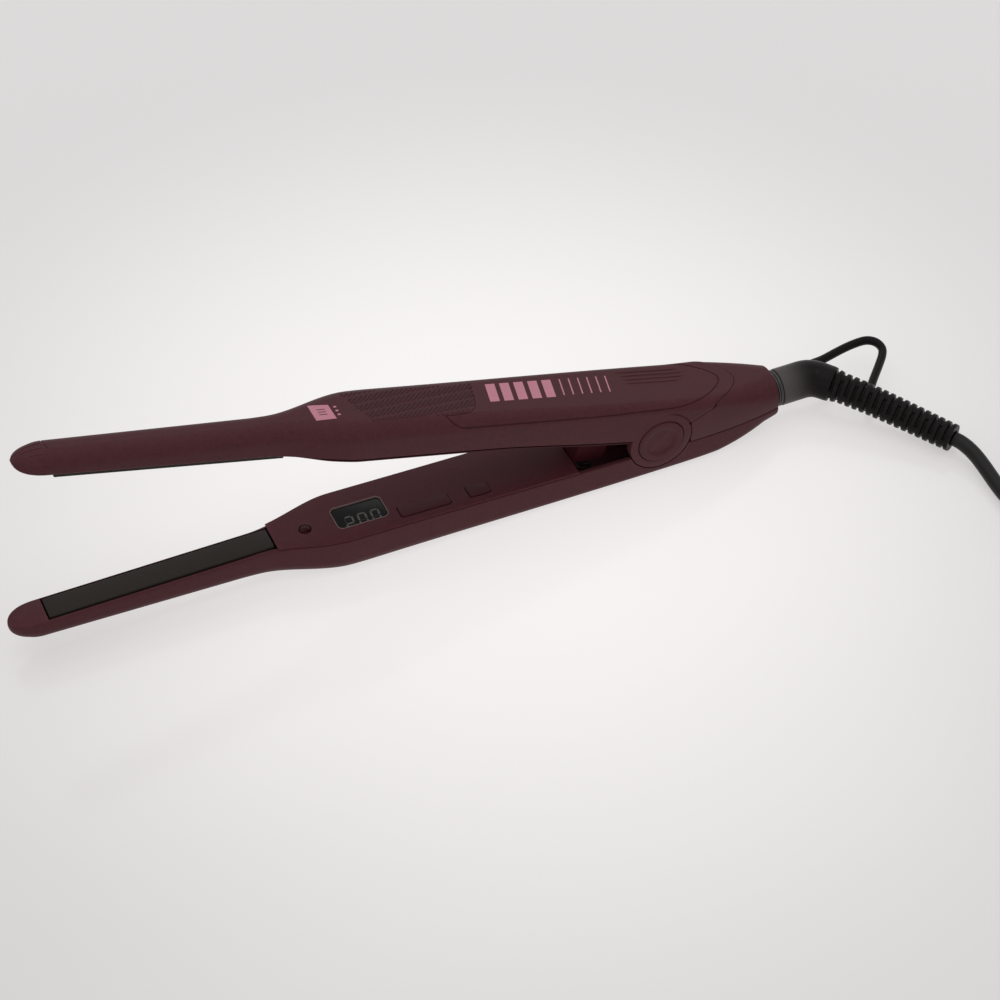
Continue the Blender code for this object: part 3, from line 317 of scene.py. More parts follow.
def boolean(ob, cutters, op="DIFFERENCE", sharp=32.0):
    if not isinstance(cutters, (list, tuple)):
        cutters = [cutters]
    for c in cutters:
        m = ob.modifiers.new("bool", "BOOLEAN")
        m.operation = op
        m.object = c
        m.solver = "EXACT"
    bpy.context.view_layer.update()
    dg = bpy.context.evaluated_depsgraph_get()
    me = bpy.data.meshes.new_from_object(ob.evaluated_get(dg))
    ob.modifiers.clear()
    mats = [s for s in ob.data.materials]
    ob.data = me
    for c in cutters:
        bpy.data.objects.remove(c, do_unlink=True)
    me.materials.clear()
    for s in mats:
        me.materials.append(s)
    for p in me.polygons:
        p.material_index = 0
    bm = bmesh.new()
    bm.from_mesh(me)
    bmesh.ops.remove_doubles(bm, verts=bm.verts, dist=1e-6)
    bmesh.ops.dissolve_degenerate(bm, edges=bm.edges, dist=1e-6)
    bm.to_mesh(me)
    bm.free()
    return soften(ob, sharp)


def opened(ob):
    """Turn a piece drawn shut to where the open upper arm carries it."""
    ob.data.transform(Matrix.Translation(H * MM) @ Matrix.Rotation(TH, 4, "Y") @ Matrix.Translation(-H * MM))
    return ob


def catmull(c, n):
    c = [Vector(p) for p in c]
    out = []
    for i in range(len(c) - 1):
        p0, p1, p2, p3 = c[max(0, i - 1)], c[i], c[i + 1], c[min(len(c) - 1, i + 2)]
        for k in range(n):
            t = k / n
            out.append(0.5 * ((2 * p1) + (p2 - p0) * t + (2 * p0 - 5 * p1 + 4 * p2 - p3) * t * t + (3 * p1 - p0 - 3 * p2 + p3) * t ** 3))
    out.append(c[-1].copy())
    return out


def sweep(name, pts, radii, n, mat=None, shape=None, up=Vector((0, 0, 1)), closed=False, sharp=32.0):
    """Tube along pts; shape(i, angle) may scale its radius."""
    rings = []
    m = len(pts)
    for i, p in enumerate(pts):
        a = pts[(i - 1) % m] if closed else pts[max(0, i - 1)]
        b = pts[(i + 1) % m] if closed else pts[min(m - 1, i + 1)]
        t = (b - a).normalized()
        s = t.cross(up).normalized()
        u = s.cross(t).normalized()
        r = radii[i] if not isinstance(radii, (int, float)) else radii
        ring = []
        for k in range(n):
            ang = 2 * math.pi * (k + 0.5) / n
            q = r if shape is None else r * shape(i, ang)
            ring.append(tuple(p + s * q * math.cos(ang) + u * q * math.sin(ang)))
        rings.append(ring)
    return loft(name, rings, mat, closed=closed, sharp=sharp)


# ------------------------------------------------------------------ shape rules of the arms
def smooth(a, b, x):
    s = min(1.0, max(0.0, (x - a) / (b - a)))
    return s * s * (3 - 2 * s)


def half_width(x):
    w = W_BARREL + (W_HANDLE - W_BARREL) * smooth(-89.0, -58.0, x)
    w += 0.2 * smooth(-40.0, 50.0, x)
    if x > 66.0:
        w -= W_END * ((x - 66.0) / 44.0) ** 2.6
    return w


def height(x):
    barrel = 12.1 + 0.0368 * (min(x, -60.0) + 97.0)
    return barrel + (T_HANDLE - barrel) * smooth(-97.0, -50.0, x)


def belly(x):
    t = height(x)
    if x > 80.0:
        t -= 4.4 * ((x - 80.0) / 30.0) ** 2.2
    return t


def crown(x):
    """Extra rise of the upper casing's tail, which rounds the top behind the hinge."""
    return 1.3 * smooth(66.0, 92.0, x)


def corner(x):
    r = 5.4 + 0.8 * smooth(-89.0, -60.0, x) - 2.5 * smooth(-75.0, 70.0, x)
    if x > 84.0:
        r += 3.9 * (x - 84.0) / 26.0
    return r


def rim_low(x):
    return MATE_Z - 0.6 - 0.5 * smooth(-88.0, -70.0, x) - 0.0298 * max(0.0, x + 62.0)


def rim_up(x):
    return MATE_Z + 1.8 + 1.2 * smooth(-88.0, -62.0, x) - 2.2 * smooth(-10.0, 50.0, x)


def rim_round(x):
    """Rounding of the casings' outer rim edges."""
    return 1.3 - 0.9 * smooth(-92.0, -72.0, x)


def tip_scale(x):
    u = min(1.0, max(0.0, (-166.0 - x) / (-166.0 - X_TIP)))
    return max(0.0, 1.0 - u ** 2.1) ** (1 / 2.1)


APEX = 3.4


def tub_section(x, inset=0.0, floor=0.0, up=False, top=None, n=16):
    f = tip_scale(x)
    w = max(0.7, half_width(x) * f) - inset
    t = belly(x) if not up else height(x) + crown(x)
    if f < 1.0:
        t = APEX + (t - APEX) * max(f, 0.06)
    zb = MATE_Z - t + floor
    zt = (rim_low(x) if not up else 2 * MATE_Z - rim_up(x)) if top is None else top
    if f < 1.0 and top is None:
        zt -= (APEX - 0.9) * (1.0 - f) ** 1.4
    e = max(0.02, min(rim_round(x) * f, 0.4 * w, 0.3 * (zt - zb))) if top is None else 0.0001
    r = min(max(0.6, corner(x) - inset), w - 0.15, zt - zb - e - 0.4)
    pts = [(w - e + e * math.sin(0.5 * math.pi * k / 7), zt - e + e * math.cos(0.5 * math.pi * k / 7)) for k in range(8)]
    for k in range(n + 1):
        a = 0.5 * math.pi * k / n
        pts.append((w - r + r * math.cos(a), zb + r - r * math.sin(a)))
    for k in (0.66, 0.33):
        pts.append(((w - r) * k, zb))
    out = pts + [(0.0, zb)] + [(-p[0], p[1]) for p in reversed(pts)]
    if up:
        out = [(p[0], 2 * MATE_Z - p[1]) for p in reversed(out)]
    return [(x, p[0], p[1]) for p in out]


def span(a, b, step):
    n = max(1, int(round((b - a) / step)))
    return [a + (b - a) * i / n for i in range(n)]


def fine_stations(x1):
    xs = [-166.0 - (-166.0 - X_TIP) * math.sin(0.5 * math.pi * t) for t in [0.985 - 0.985 * i / 26 for i in range(27)]]
    xs += span(-166.0, -100.0, 3.3)[1:] + span(-100.0, -48.0, 1.3) + span(-48.0, 62.0, 3.0) + span(62.0, x1, 1.2) + [x1]
    return xs


def few_stations(x0, x1, step=4.0):
    return span(x0, x1, step) + [x1]


def shrink(sec, d, cz):
    out = []
    for x, y, z in sec:
        yy = y - math.copysign(min(d, abs(y)), y) if abs(y) > 0.2 else y
        k = min(1.0, abs(z - cz) / 2.5)
        out.append((x, yy, z - math.copysign(d * k, z - cz)))
    return out


def skin(x, s, lift=0.0, up=True):
    """Point on the outer face, drawn shut: s runs round the section from the top centre
    line (bottom, on the lower arm), positive on the side of -Y."""
    f = tip_scale(x)
    w = max(0.7, half_width(x) * f)
    t = height(x) + crown(x) if up else belly(x)
    if f < 1.0:
        t = APEX + (t - APEX) * max(f, 0.06)
    r = min(corner(x), w - 0.15)
    a, q = w - r, abs(s)
    if q <= a:
        y, z, ny, nz = q, t, 0.0, 1.0
    elif q <= a + 0.5 * math.pi * r:
        g = (q - a) / r
        y, z, ny, nz = a + r * math.sin(g), t - r + r * math.cos(g), math.sin(g), math.cos(g)
    else:
        y, z, ny, nz = w, t - r - (q - a - 0.5 * math.pi * r), 1.0, 0.0
    y, z = y + ny * lift, z + nz * lift
    return Vector((x, -math.copysign(y, s), MATE_Z + z if up else MATE_Z - z))


# ================================================================== LOWER ARM
MADE = []


def keep(ob, body, *nodes, slot=None):
    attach(ob, body)
    if nodes:
        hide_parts(*nodes)
    MADE.append(ob)
    return ob


def casing_lower():
    xs = fine_stations(X_REAR - 0.9)
    rings = [tub_section(x) for x in xs]
    for k in range(1, 5):
        a = 0.5 * math.pi * k / 4
        rings.append([(X_REAR - 0.9 + 0.9 * math.sin(a), p[1], p[2]) for p in shrink(tub_section(X_REAR - 0.9), 0.7 * (1 - math.cos(a)), CORD_AXIS_Z - 3.0)])
    ob = loft("casing_lower", rings, plum)
    cav = [tub_section(x, inset=0.9, floor=1.3, top=MATE_Z + 4, n=6) for x in (-164.0, -130.0, -97.0)]
    cav += [tub_section(x, inset=0.9 + 0.7 * smooth(-97.0, -70.0, x), floor=WALL, top=MATE_Z + 4, n=6)
            for x in few_stations(-93.0, 105.2)]
    boolean(ob, loft("c", cav))
    for s in (-1, 1):
        lug = prism("lug", [(51.5, 1.0), (68.5, 1.0), (67.5, MATE_Z)] +
                    [(HINGE_X + 7.5 * math.cos(math.pi * k / 16), MATE_Z + 7.5 * math.sin(math.pi * k / 16)) for k in range(0, 17)] +
                    [(52.5, MATE_Z)], min(5.8 * s, 8.9 * s), max(5.8 * s, 8.9 * s), "Y")
        boolean(ob, lug, "UNION")
    cuts = []
    for s in (-1, 1):
        cuts.append(cyl("Y", (HINGE_X, MATE_Z), EAR_R + GAP, min(8.9 * s, 14 * s), max(8.9 * s, 14 * s), 96))
    cuts.append(cyl("Y", (HINGE_X, MATE_Z), PIN_R + GAP, -10, 10, 40))
    cuts.append(cyl("X", (0, CORD_AXIS_Z), COLLAR_R + 0.15, 103, 112, 64))
    for sx in (-78.0, 14.0, 80.0):
        zb = MATE_Z - height(sx)
        cuts.append(cyl("Z", (sx, 0), 1.5, zb - 3, zb + 5, 24))
        cuts.append(cyl("Z", (sx, 0), 2.6, zb - 3, zb + 0.9, 40))
    boolean(ob, cuts)
    return ob


keep(casing_lower(), "lower_arm", "lower_shell", slot="soft_plum")


PX0 = PLATE_X0 + PLATE_L + 0.7


def panel_top(x):
    return min(rim_low(x) + GAP + 0.75, MATE_Z - 0.2)


def panel_section(x, gap, up=False, thick=1.0):
    w = half_width(x) - 0.04 - (1.5 * (1.0 - smooth(PX0 + 0.5, PX0 + 15.0, x)) if up else 0.0)
    zp = (rim_low(x) if not up else 2 * MATE_Z - rim_up(x)) + GAP
    top = min(zp + 0.75, MATE_Z - 0.2) if not up else zp + 0.75
    if not up:
        zp += 0.12
    wi = min(half_width(x) - WALL - gap, w - 0.1)
    e = 0.75 * (top - zp)
    right = [(w, zp)] + [(w - e + e * math.cos(0.5 * math.pi * k / 6), top - e + e * math.sin(0.5 * math.pi * k / 6)) for k in range(7)]
    pts = right + [(w * 0.5, top), (0.0, top), (-w * 0.5, top)] + [(-p[0], p[1]) for p in reversed(right)] + [(-wi, zp), (-wi, zp - thick), (wi, zp - thick), (wi, zp)]
    if up:
        pts = [(p[0], 2 * MATE_Z - p[1]) for p in reversed(pts)]
    return [(x, p[0], p[1]) for p in pts]




def rounded_rect(x0, x1, y0, y1, r, n=8):
    pts = []
    for cx, cy, a0 in ((x1 - r, y1 - r, 0), (x0 + r, y1 - r, 90), (x0 + r, y0 + r, 180), (x1 - r, y0 + r, 270)):
        for k in range(n + 1):
            a = math.radians(a0 + 90.0 * k / n)
            pts.append((cx + r * math.cos(a), cy + r * math.sin(a)))
    return pts


def cover():
    ob = loft("control_panel", [panel_section(x, GAP) for x in span(PX0, -48.0, 1.3) + few_stations(-48.0, COVER_END_X, 3.0)], plum_panel)
    posts = []
    for sx in (-78.0, 14.0):
        posts.append(cyl("Z", (sx, 0), 2.9, MATE_Z - height(sx) + WALL + GAP + 0.4, panel_top(sx) - 1.0, 32))
    boolean(ob, posts, "UNION")
    cuts = [cyl("Z", (sx, 0), 1.35, 0, panel_top(sx) - 1.6, 24) for sx in (-78.0, 14.0)]
    cuts.append(prism("c", rounded_rect(*DISP, 1.8), 10, 20, "Z"))
    for r in (ROCK, POWR):
        cuts.append(prism("c", rounded_rect(*r, 0.9), 10, 20, "Z"))
    cuts.append(cyl("Z", LED, 2.3, 10, 20, 48))
    return boolean(ob, cuts)


keep(cover(), "lower_arm", "lower_face_cover", slot="panel_plum")


def sloped(name, outline, z0, z1, mat, round_mm=0.0, steps=4):
    """Plate whose faces follow the slope of the control panel; z0, z1 are from its top."""
    cx = sum(p[0] for p in outline) / len(outline)
    cy = sum(p[1] for p in outline) / len(outline)

    def inset(d):
        out = []
        m = len(outline)
        for i, p in enumerate(outline):
            a, b = outline[i - 1], outline[(i + 1) % m]
            t = Vector((b[0] - a[0], b[1] - a[1])).normalized()
            nrm = Vector((-t.y, t.x))
            if nrm.dot(Vector((cx - p[0], cy - p[1]))) < 0:
                nrm = -nrm
            out.append((p[0] + nrm.x * d, p[1] + nrm.y * d))
        return out
    rings = [[(p[0], p[1], panel_top(p[0]) + z0) for p in outline]]
    if round_mm:
        for k in range(steps + 1):
            a = 0.5 * math.pi * k / steps
            rings.append([(p[0], p[1], panel_top(p[0]) + z1 - round_mm * (1 - math.sin(a))) for p in inset(round_mm * (1 - math.cos(a)))])
    else:
        rings.append([(p[0], p[1], panel_top(p[0]) + z1) for p in outline])
    return loft(name, rings, mat)


keep(sloped("display_glass", rounded_rect(DISP[0] + GAP, DISP[1] - GAP, DISP[2] + GAP, DISP[3] - GAP, 1.5), -1.25, -0.34, glass, 0.08),
     "lower_arm", "display_lens", slot="display_black")


def bezel():
    """Raised satin frame round the display window."""
    rings = []
    prof = ((0.10, -0.6), (0.10, 0.12), (0.16, 0.18), (0.30, 0.18), (0.38, 0.08), (0.38, -0.10), (0.28, -0.6))
    base = rounded_rect(DISP[0], DISP[1], DISP[2], DISP[3], 1.8, 10)
    cx, cy = 0.5 * (DISP[0] + DISP[1]), 0.5 * (DISP[2] + DISP[3])
    m = len(base)
    for i, p in enumerate(base):
        a, b = base[i - 1], base[(i + 1) % m]
        t = Vector((b[0] - a[0], b[1] - a[1])).normalized()
        nrm = Vector((t.y, -t.x))
        if nrm.dot(Vector((p[0] - cx, p[1] - cy))) < 0:
            nrm = -nrm
        rings.append([(p[0] + nrm.x * (d - 0.16), p[1] + nrm.y * (d - 0.16), panel_top(p[0]) + z) for d, z in prof])
    return loft("display_bezel", rings, bezel_m, closed=True)


keep(bezel(), "lower_arm", slot="panel_plum")

SEG = {"a": (0, 1, 1, 1), "b": (1, 1, 1, 0), "c": (1, 0, 1, -1), "d": (0, -1, 1, -1), "e": (0, 0, 0, -1), "f": (0, 1, 0, 0), "g": (0, 0, 1, 0)}
LIT = {"2": "abged", "0": "abcdef"}


def digits(text, name, lit, mat, z):
    """Seven-segment digits lying just under the display's glass face."""
    verts, faces = [], []
    dw, dh, sw, pitch = 2.7, 6.2, 0.70, 4.8
    x0 = 0.5 * (DISP[0] + DISP[1]) - pitch * (len(text) - 1) / 2 + 0.2
    for i, ch in enumerate(text):
        cx, cy = x0 + pitch * i, -4.55
        for k, (ax, ay, bx, by) in SEG.items():
            if (k in LIT[ch]) != lit:
                continue
            a = Vector((cx - dw / 2 + dw * ax, cy + dh / 2 * ay))
            b = Vector((cx - dw / 2 + dw * bx, cy + dh / 2 * by))
            t = (b - a).normalized()
            n = Vector((-t.y, t.x))
            a, b = a + t * 0.10, b - t * 0.10
            pts = [a, a + t * sw / 2 + n * sw / 2, b - t * sw / 2 + n * sw / 2, b, b - t * sw / 2 - n * sw / 2, a + t * sw / 2 - n * sw / 2]
            base = len(verts)
            for zz in (z - 0.05, z):
                verts += [(p.x + 0.06 * (p.y - cy), max(p.y, DISP[2] + GAP + 0.12 + 0.02 * q_), panel_top(p.x) + zz) for q_, p in enumerate(pts)]
            faces.append(tuple(base + q for q in range(6)))
            faces.append(tuple(base + 6 + q for q in range(6)))
            for q in range(6):
                faces.append((base + q, base + (q + 1) % 6, base + 6 + (q + 1) % 6, base + 6 + q))
    return solid(name, verts, faces, mat)


keep(digits("200", "display_digits", True, digit_m, -0.315), "lower_arm", slot="display_black")
keep(digits("200", "display_segments_unlit", False, ghost_m, -0.322), "lower_arm", slot="display_black")

zl = panel_top(LED[0])
prof = [(0.0, zl - 2.4), (2.0, zl - 2.4)] + [(2.0 * math.cos(a), zl - 0.25 + 0.75 * math.sin(a)) for a in [math.radians(5 * k) for k in range(0, 18)]] + [(0.0, zl + 0.5)]
keep(turned("led_dome", prof, "Z", LED, 48, led_m), "lower_arm", "led_lens", slot="led_red")


def button(name, r, mat):
    g = GAP
    cap = sloped(name, rounded_rect(r[0] + g, r[1] - g, r[2] + g, r[3] - g, 0.75), -2.6, 0.42, mat, 0.22, 5)
    zlo = min(rim_low(r[0]), rim_low(r[1])) + GAP - 1.0
    fl = prism("f", rounded_rect(r[0] - 0.6, r[1] + 0.6, r[2] - 0.1, r[3] + 0.6, 0.8, 4), zlo - 1.5, zlo - 0.55, "Z")
    return boolean(cap, fl, "UNION")


def outline_ring(name, base, prof, mat, cx, cy):
    """Closed ring along an outline: prof gives (distance outwards, height from the panel's top)."""
    rings = []
    m = len(base)
    for i, p in enumerate(base):
        a, b = base[i - 1], base[(i + 1) % m]
        t = Vector((b[0] - a[0], b[1] - a[1])).normalized()
        nrm = Vector((t.y, -t.x))
        if nrm.dot(Vector((p[0] - cx, p[1] - cy))) < 0:
            nrm = -nrm
        rings.append([(p[0] + nrm.x * d, p[1] + nrm.y * d, panel_top(p[0]) + z) for d, z in prof])
    return loft(name, rings, mat, closed=True)


# Near-black rings in the gaps round the two keys: painted shade where the keys meet the panel.
for nm, r in (("rocker_gap_shade", ROCK), ("power_gap_shade", POWR)):
    keep(outline_ring(nm, rounded_rect(*r, 0.9, 8), ((-0.20, -0.75), (-0.20, -0.10), (-0.16, -0.06), (-0.03, -0.06), (0.01, -0.10), (0.01, -0.75)), gap_shade_m,
                      0.5 * (r[0] + r[1]), 0.5 * (r[2] + r[3])), "lower_arm", slot="display_black")
keep(button("rocker_key_top", ROCK, plum_button), "rocker_key", "temperature_rocker", slot="panel_plum")
keep(button("power_key_top", POWR, plum_button), "power_key", "power_button", slot="panel_plum")


def heater_plate(name, up):
    """Ceramic bar with rounded long edges and softened ends."""
    hw, e = (PLATE_W / 2, 0.45) if not up else (PLATE_W / 2 + 0.3, 0.14)
    zt = MATE_Z - PLATE_GAP / 2
    x0, x1 = PLATE_X0, PLATE_X0 + PLATE_L
    rings = []
    ends = [(x0, 0.30), (x0 + 0.09, 0.09), (x0 + 0.30, 0.0)] + [(x, 0.0) for x in span(x0 + 4, x1 - 4, 4.0)] + [(x1 - 0.30, 0.0), (x1 - 0.09, 0.09), (x1, 0.30)]
    for x, d in ends:
        sec = [(hw - d, zt - 1.6)] + [(hw - e + e * math.cos(0.5 * math.pi * k / 5) - d, zt - e + e * math.sin(0.5 * math.pi * k / 5) - d * 0.8) for k in range(6)]
        sec += [(-p[0], p[1]) for p in reversed(sec)]
        rings.append([(x, p[0], p[1] if not up else 2 * MATE_Z - p[1]) for p in sec])
    ob = loft(name, rings, ceramic)
    return opened(ob) if up else ob


keep(heater_plate("heater_plate_lower", False), "lower_arm", "lower_plate", slot="plate_ceramic")
keep(heater_plate("heater_plate_upper", True), "floating_plate", "upper_plate", slot="plate_ceramic")


# ---- rear housing behind the hinge
def top_line(x):
    z = 28.8 - 0.2857 * (x - 75.5) + crown((x - 64.48) / 0.9615 + 60.0)
    if x > 94.0:
        z += 0.045 * (x - 94.0)
    return z


def housing_section(x, inset=0.0, bottom=None, drop=None, n=14):
    w = half_width(x) - inset
    zt = top_line(x) - (inset if drop is None else drop)
    zb = rim_low(x) + GAP if bottom is None else bottom
    r = max(0.8, min(corner(x) + 0.4 - inset, zt - zb - 0.4, w - 0.3))
    e = 0.3 if inset == 0 else 0.0001
    pts = [(w - e, zb), (w - 0.3 * e, zb + 0.3 * e), (w, zb + e)]
    for k in range(n + 1):
        a = 0.5 * math.pi * k / n
        pts.append((w - r + r * math.cos(a), zt - r + r * math.sin(a)))
    pts += [((w - r) * 0.5, zt)]
    out = pts + [(0.0, zt)] + [(-p[0], p[1]) for p in reversed(pts)]
    return [(x, p[0], p[1]) for p in out]


def seam_polys(g):
    a0 = math.radians(OPEN_DEG + 21.3)
    zt = MATE_Z + T_HANDLE - 2.2 - g
    dx, dz = g * math.sin(a0), -g * math.cos(a0)
    x1 = HINGE_X + dx + (zt - MATE_Z - dz) / math.tan(a0)
    side = [(HINGE_X + dx, MATE_Z + dz), (x1, zt), (x1, MATE_Z + 30), (HINGE_X - 30, MATE_Z + 30), (HINGE_X - 30, MATE_Z + dz)]
    ys = [-13.5 + 27.0 * k / 60 for k in range(61)]
    plan = [(60.0, -13.5)] + [(90.5 + g - 0.09 * y * y, y) for y in ys] + [(60.0, 13.5)]
    return side, plan, zt


def housing():
    xs = span(72.0, X_REAR - 0.9, 1.1) + [X_REAR - 0.9]
    rings = [housing_section(x) for x in xs]
    for k in range(1, 5):
        a = 0.5 * math.pi * k / 4
        rings.append([(X_REAR - 0.9 + 0.9 * math.sin(a), p[1], p[2]) for p in shrink(housing_section(X_REAR - 0.9), 0.7 * (1 - math.cos(a)), CORD_AXIS_Z)])
    ob = loft("housing_rear", rings, plum)
    side, plan, zt = seam_polys(GAP)
    cuts = [opened(prism("c", side, -15, 15, "Y")), opened(prism("c", plan, zt, MATE_Z + 30, "Z"))]
    boolean(ob, cuts)
    cuts = []
    for s in (-1, 1):
        cuts.append(cyl("Y", (HINGE_X, MATE_Z), EAR_R + GAP, min(8.6 * s, 14 * s), max(8.6 * s, 14 * s), 96))
    cuts.append(loft("c", [housing_section(x, WALL, bottom=5.0, drop=5.2 if x < 96 else 1.6, n=6) for x in (79.5, 88.0, 95.0, 98.5, 102.0, 105.2)]))
    cuts.append(cyl("X", (0, CORD_AXIS_Z), COLLAR_R + 0.15, 103, 112, 64))
    cuts.append(cyl("Z", (80.0, 0), 1.35, 5, 15.5, 24))
    return boolean(ob, cuts)


keep(housing(), "lower_arm", "rear_housing", slot="soft_plum")


# ---- pivot caps: raised ring round a dished face
def pivot_cap(name, s):
    prof = [(0.0, 11.35), (CAP_R - 0.1, 11.35), (CAP_R, 11.45), (CAP_R, 12.45)]
    prof += [(CAP_R - 0.5 + 0.5 * math.cos(a), 12.45 + 0.5 * math.sin(a)) for a in [math.radians(15 * k) for k in range(1, 7)]]
    prof += [(6.55, 12.98), (6.15, 12.90), (5.75, 12.66), (5.45, 12.40), (5.1, 12.26), (4.6, 12.22), (2.4, 12.30), (0.0, 12.34)]
    return turned(name, [(r, h * s) for r, h in prof], "Y", (HINGE_X, MATE_Z), 96, plum, sharp=40)


keep(pivot_cap("hinge_cap_left", 1), "lower_arm", "pivot_cap_left", slot="soft_plum")
keep(pivot_cap("hinge_cap_right", -1), "lower_arm", "pivot_cap_right", slot="soft_plum")


# ---- opening spring
def spring():
    X, R, r, z0, z1, turns = 36.0, 2.6, 0.35, 2.35, 19.4, 7
    pts = []
    steps = turns * 24
    for i in range(steps + 1):
        a = 2 * math.pi * i / 24
        pts.append(Vector((X + R * math.cos(a), R * math.sin(a), z0 + (z1 - z0) * i / steps)))
    return sweep("spring_coil", pts, r, 10, spring_m)


# ---- case screws with a cross recess
def screw(name, profile, c, depth_z, sign, mat):
    ob = turned(name, profile, "Z", c, 40, mat)
    cross = []
    for a in (0.0, math.pi / 2):
        ca, sa = math.cos(a), math.sin(a)
        poly = [(-1.35, -0.26), (1.35, -0.26), (1.35, 0.26), (-1.35, 0.26)]
        poly = [(c[0] + p[0] * ca - p[1] * sa, c[1] + p[0] * sa + p[1] * ca) for p in poly]
        cross.append(prism("c", poly, min(depth_z, depth_z - sign * 3), max(depth_z, depth_z - sign * 3), "Z"))
    return boolean(ob, cross)


for nm, sx, top in (("front", -78.0, 11.5), ("middle", 14.0, 12.0), ("rear", 80.0, 13.5)):
    zb = MATE_Z - height(sx)
    pr = [(0.0, zb + 0.12), (1.7, zb + 0.12), (2.1, zb + 0.25), (2.2, zb + 0.45), (2.2, zb + 0.75), (1.05, zb + 0.85), (1.05, top - 0.8), (0.0, top)]
    keep(screw("screw_case_" + nm, pr, (sx, 0.0), zb + 0.6, 1, screw_m), "lower_arm", "case_screw_" + nm, slot="screw_steel")


# ================================================================== UPPER ARM (drawn shut, then opened)
def skin_tube(path, r=0.28, lift=0.02, n=14, seg=8):
    """Round cutter that follows (x, s) points on the upper arm's face."""
    pts2 = catmull([(p[0], p[1], p[2] if len(p) > 2 else lift) for p in path], n)
    return sweep("c", [skin(p.x, p.y, p.z) for p in pts2], r, seg, up=Vector((0.0, 0.3, 1.0)))


def casing_upper():
    xs = fine_stations(96.0)
    ob = loft("casing_upper", [tub_section(x, up=True) for x in xs], plum)
    cav = [tub_section(x, inset=0.9, floor=1.3, up=True, top=MATE_Z + 4, n=6) for x in (-164.0, -130.0, -97.0)]
    cav += [tub_section(x, inset=0.9 + 0.7 * smooth(-97.0, -70.0, x), floor=WALL, up=True, top=MATE_Z + 4, n=6)
            for x in few_stations(-93.0, 74.0)]
    boolean(ob, loft("c", cav))
    a0 = math.radians(OPEN_DEG + 21.3)
    tz = T_HANDLE - 2.2
    tail = [(EAR_R * math.cos(a0 * k / 8), EAR_R * math.sin(a0 * k / 8)) for k in range(9)]
    tail += [(tz / math.tan(a0), tz), (44.0, tz), (44.0, -8.0), (EAR_R, -8.0)]
    plan = [(90.5 - 0.09 * y * y, y) for y in [-13.5 + 27.0 * k / 60 for k in range(61)]]
    boolean(ob, [prism("c", [(HINGE_X + p[0], MATE_Z + p[1]) for p in tail], -16, 16, "Y"),
                 prism("c", plan + [(110.0, 13.5), (110.0, -13.5)], MATE_Z - 10, MATE_Z + 30, "Z")])
    for s in (-1, 1):
        lo, hi = min(9.2 * s, 12.5 * s), max(9.2 * s, 12.5 * s)
        e = 0.3
        prof = [(0.0, 9.2), (EAR_R, 9.2), (EAR_R, 12.5 - e), (EAR_R - 0.09, 12.5 - 0.09), (EAR_R - e, 12.5), (0.0, 12.5)]
        boolean(ob, turned("e", [(r, h * s) for r, h in prof], "Y", (HINGE_X, MATE_Z), 96), "UNION")
    cuts = []
    for s in (-1, 1):
        cuts.append(cyl("Y", (HINGE_X, MATE_Z), 4.6, min(8 * s, 14 * s), max(8 * s, 14 * s), 48))
        cuts.append(cyl("Y", (HINGE_X, MATE_Z), CAP_R + GAP, min(11.1 * s, 14 * s), max(11.1 * s, 14 * s), 96))
    boolean(ob, cuts)
    posts = []
    for sx in (-74.0, 20.0):
        posts.append(cyl("Z", (sx, 0), 2.9, rim_up(sx) + 1.05, MATE_Z + height(sx) - 0.8, 32))
    boolean(ob, posts, "UNION")
    cuts = [cyl("Z", (sx, 0), 1.35, MATE_Z, MATE_Z + height(sx) - 2.4, 24) for sx in (-74.0, 20.0)]
    # long panel groove: both sides, joined across the tail
    half = [(-29.3, 7.6, 0.3), (-28.6, 8.6), (-26.6, 11.0), (-24.6, 12.4), (-22.0, 13.1), (-16.0, 13.2), (0.0, 13.3), (30.6, 13.4), (46.7, 12.95), (56.5, 12.7),
            (63.5, 12.2), (70.0, 10.8), (75.5, 8.6), (80.2, 5.6), (83.2, 2.8), (84.4, 0.0)]
    loop = half + [(p[0], -p[1]) + tuple(p[2:]) for p in reversed(half[:-1])]
    cuts.append(skin_tube([(q[0], q[1], q[2] if len(q) > 2 else -0.08) for q in loop], 0.33))
    # arc round the hinge ear, fading out towards the top
    for s in (-1, 1):
        arc = []
        for k in range(29):
            a = math.radians(36.0 + 84.0 * k / 28)
            fade = 0.55 * smooth(70.0, 118.0, math.degrees(a))
            arc.append(Vector((HINGE_X + 12.15 * math.cos(a), s * (12.52 + fade), MATE_Z + 12.15 * math.sin(a))))
        cuts.append(sweep("c", arc, 0.42, 12, up=Vector((0, 1, 0))))
    # outline of the grip panel
    gl = [(-61.9, -8.6), (-61.7, -5.1), (-59.6, 0.6), (-56.8, 7.9), (-54.9, 8.5), (-40.0, 8.45), (-28.3, 8.35), (-20.5, 7.9), (-17.6, 6.6), (-15.3, 3.6), (-13.6, -2.2), (-12.6, -8.6)]
    cuts.append(skin_tube(gl, 0.24, -0.04))
    # edge of the plain cool tip
    cuts.append(skin_tube([(-165.2, 3.2, 0.4), (-165.9, 1.0, 0.06), (-166.4, -1.4, 0.04), (-166.3, -4.0, 0.05), (-165.6, -6.8, 0.12), (-164.9, -9.4, 0.4)], 0.28, 0.05))
    boolean(ob, cuts)
    return opened(ob)


keep(casing_upper(), "upper_arm", "upper_shell", slot="soft_plum")


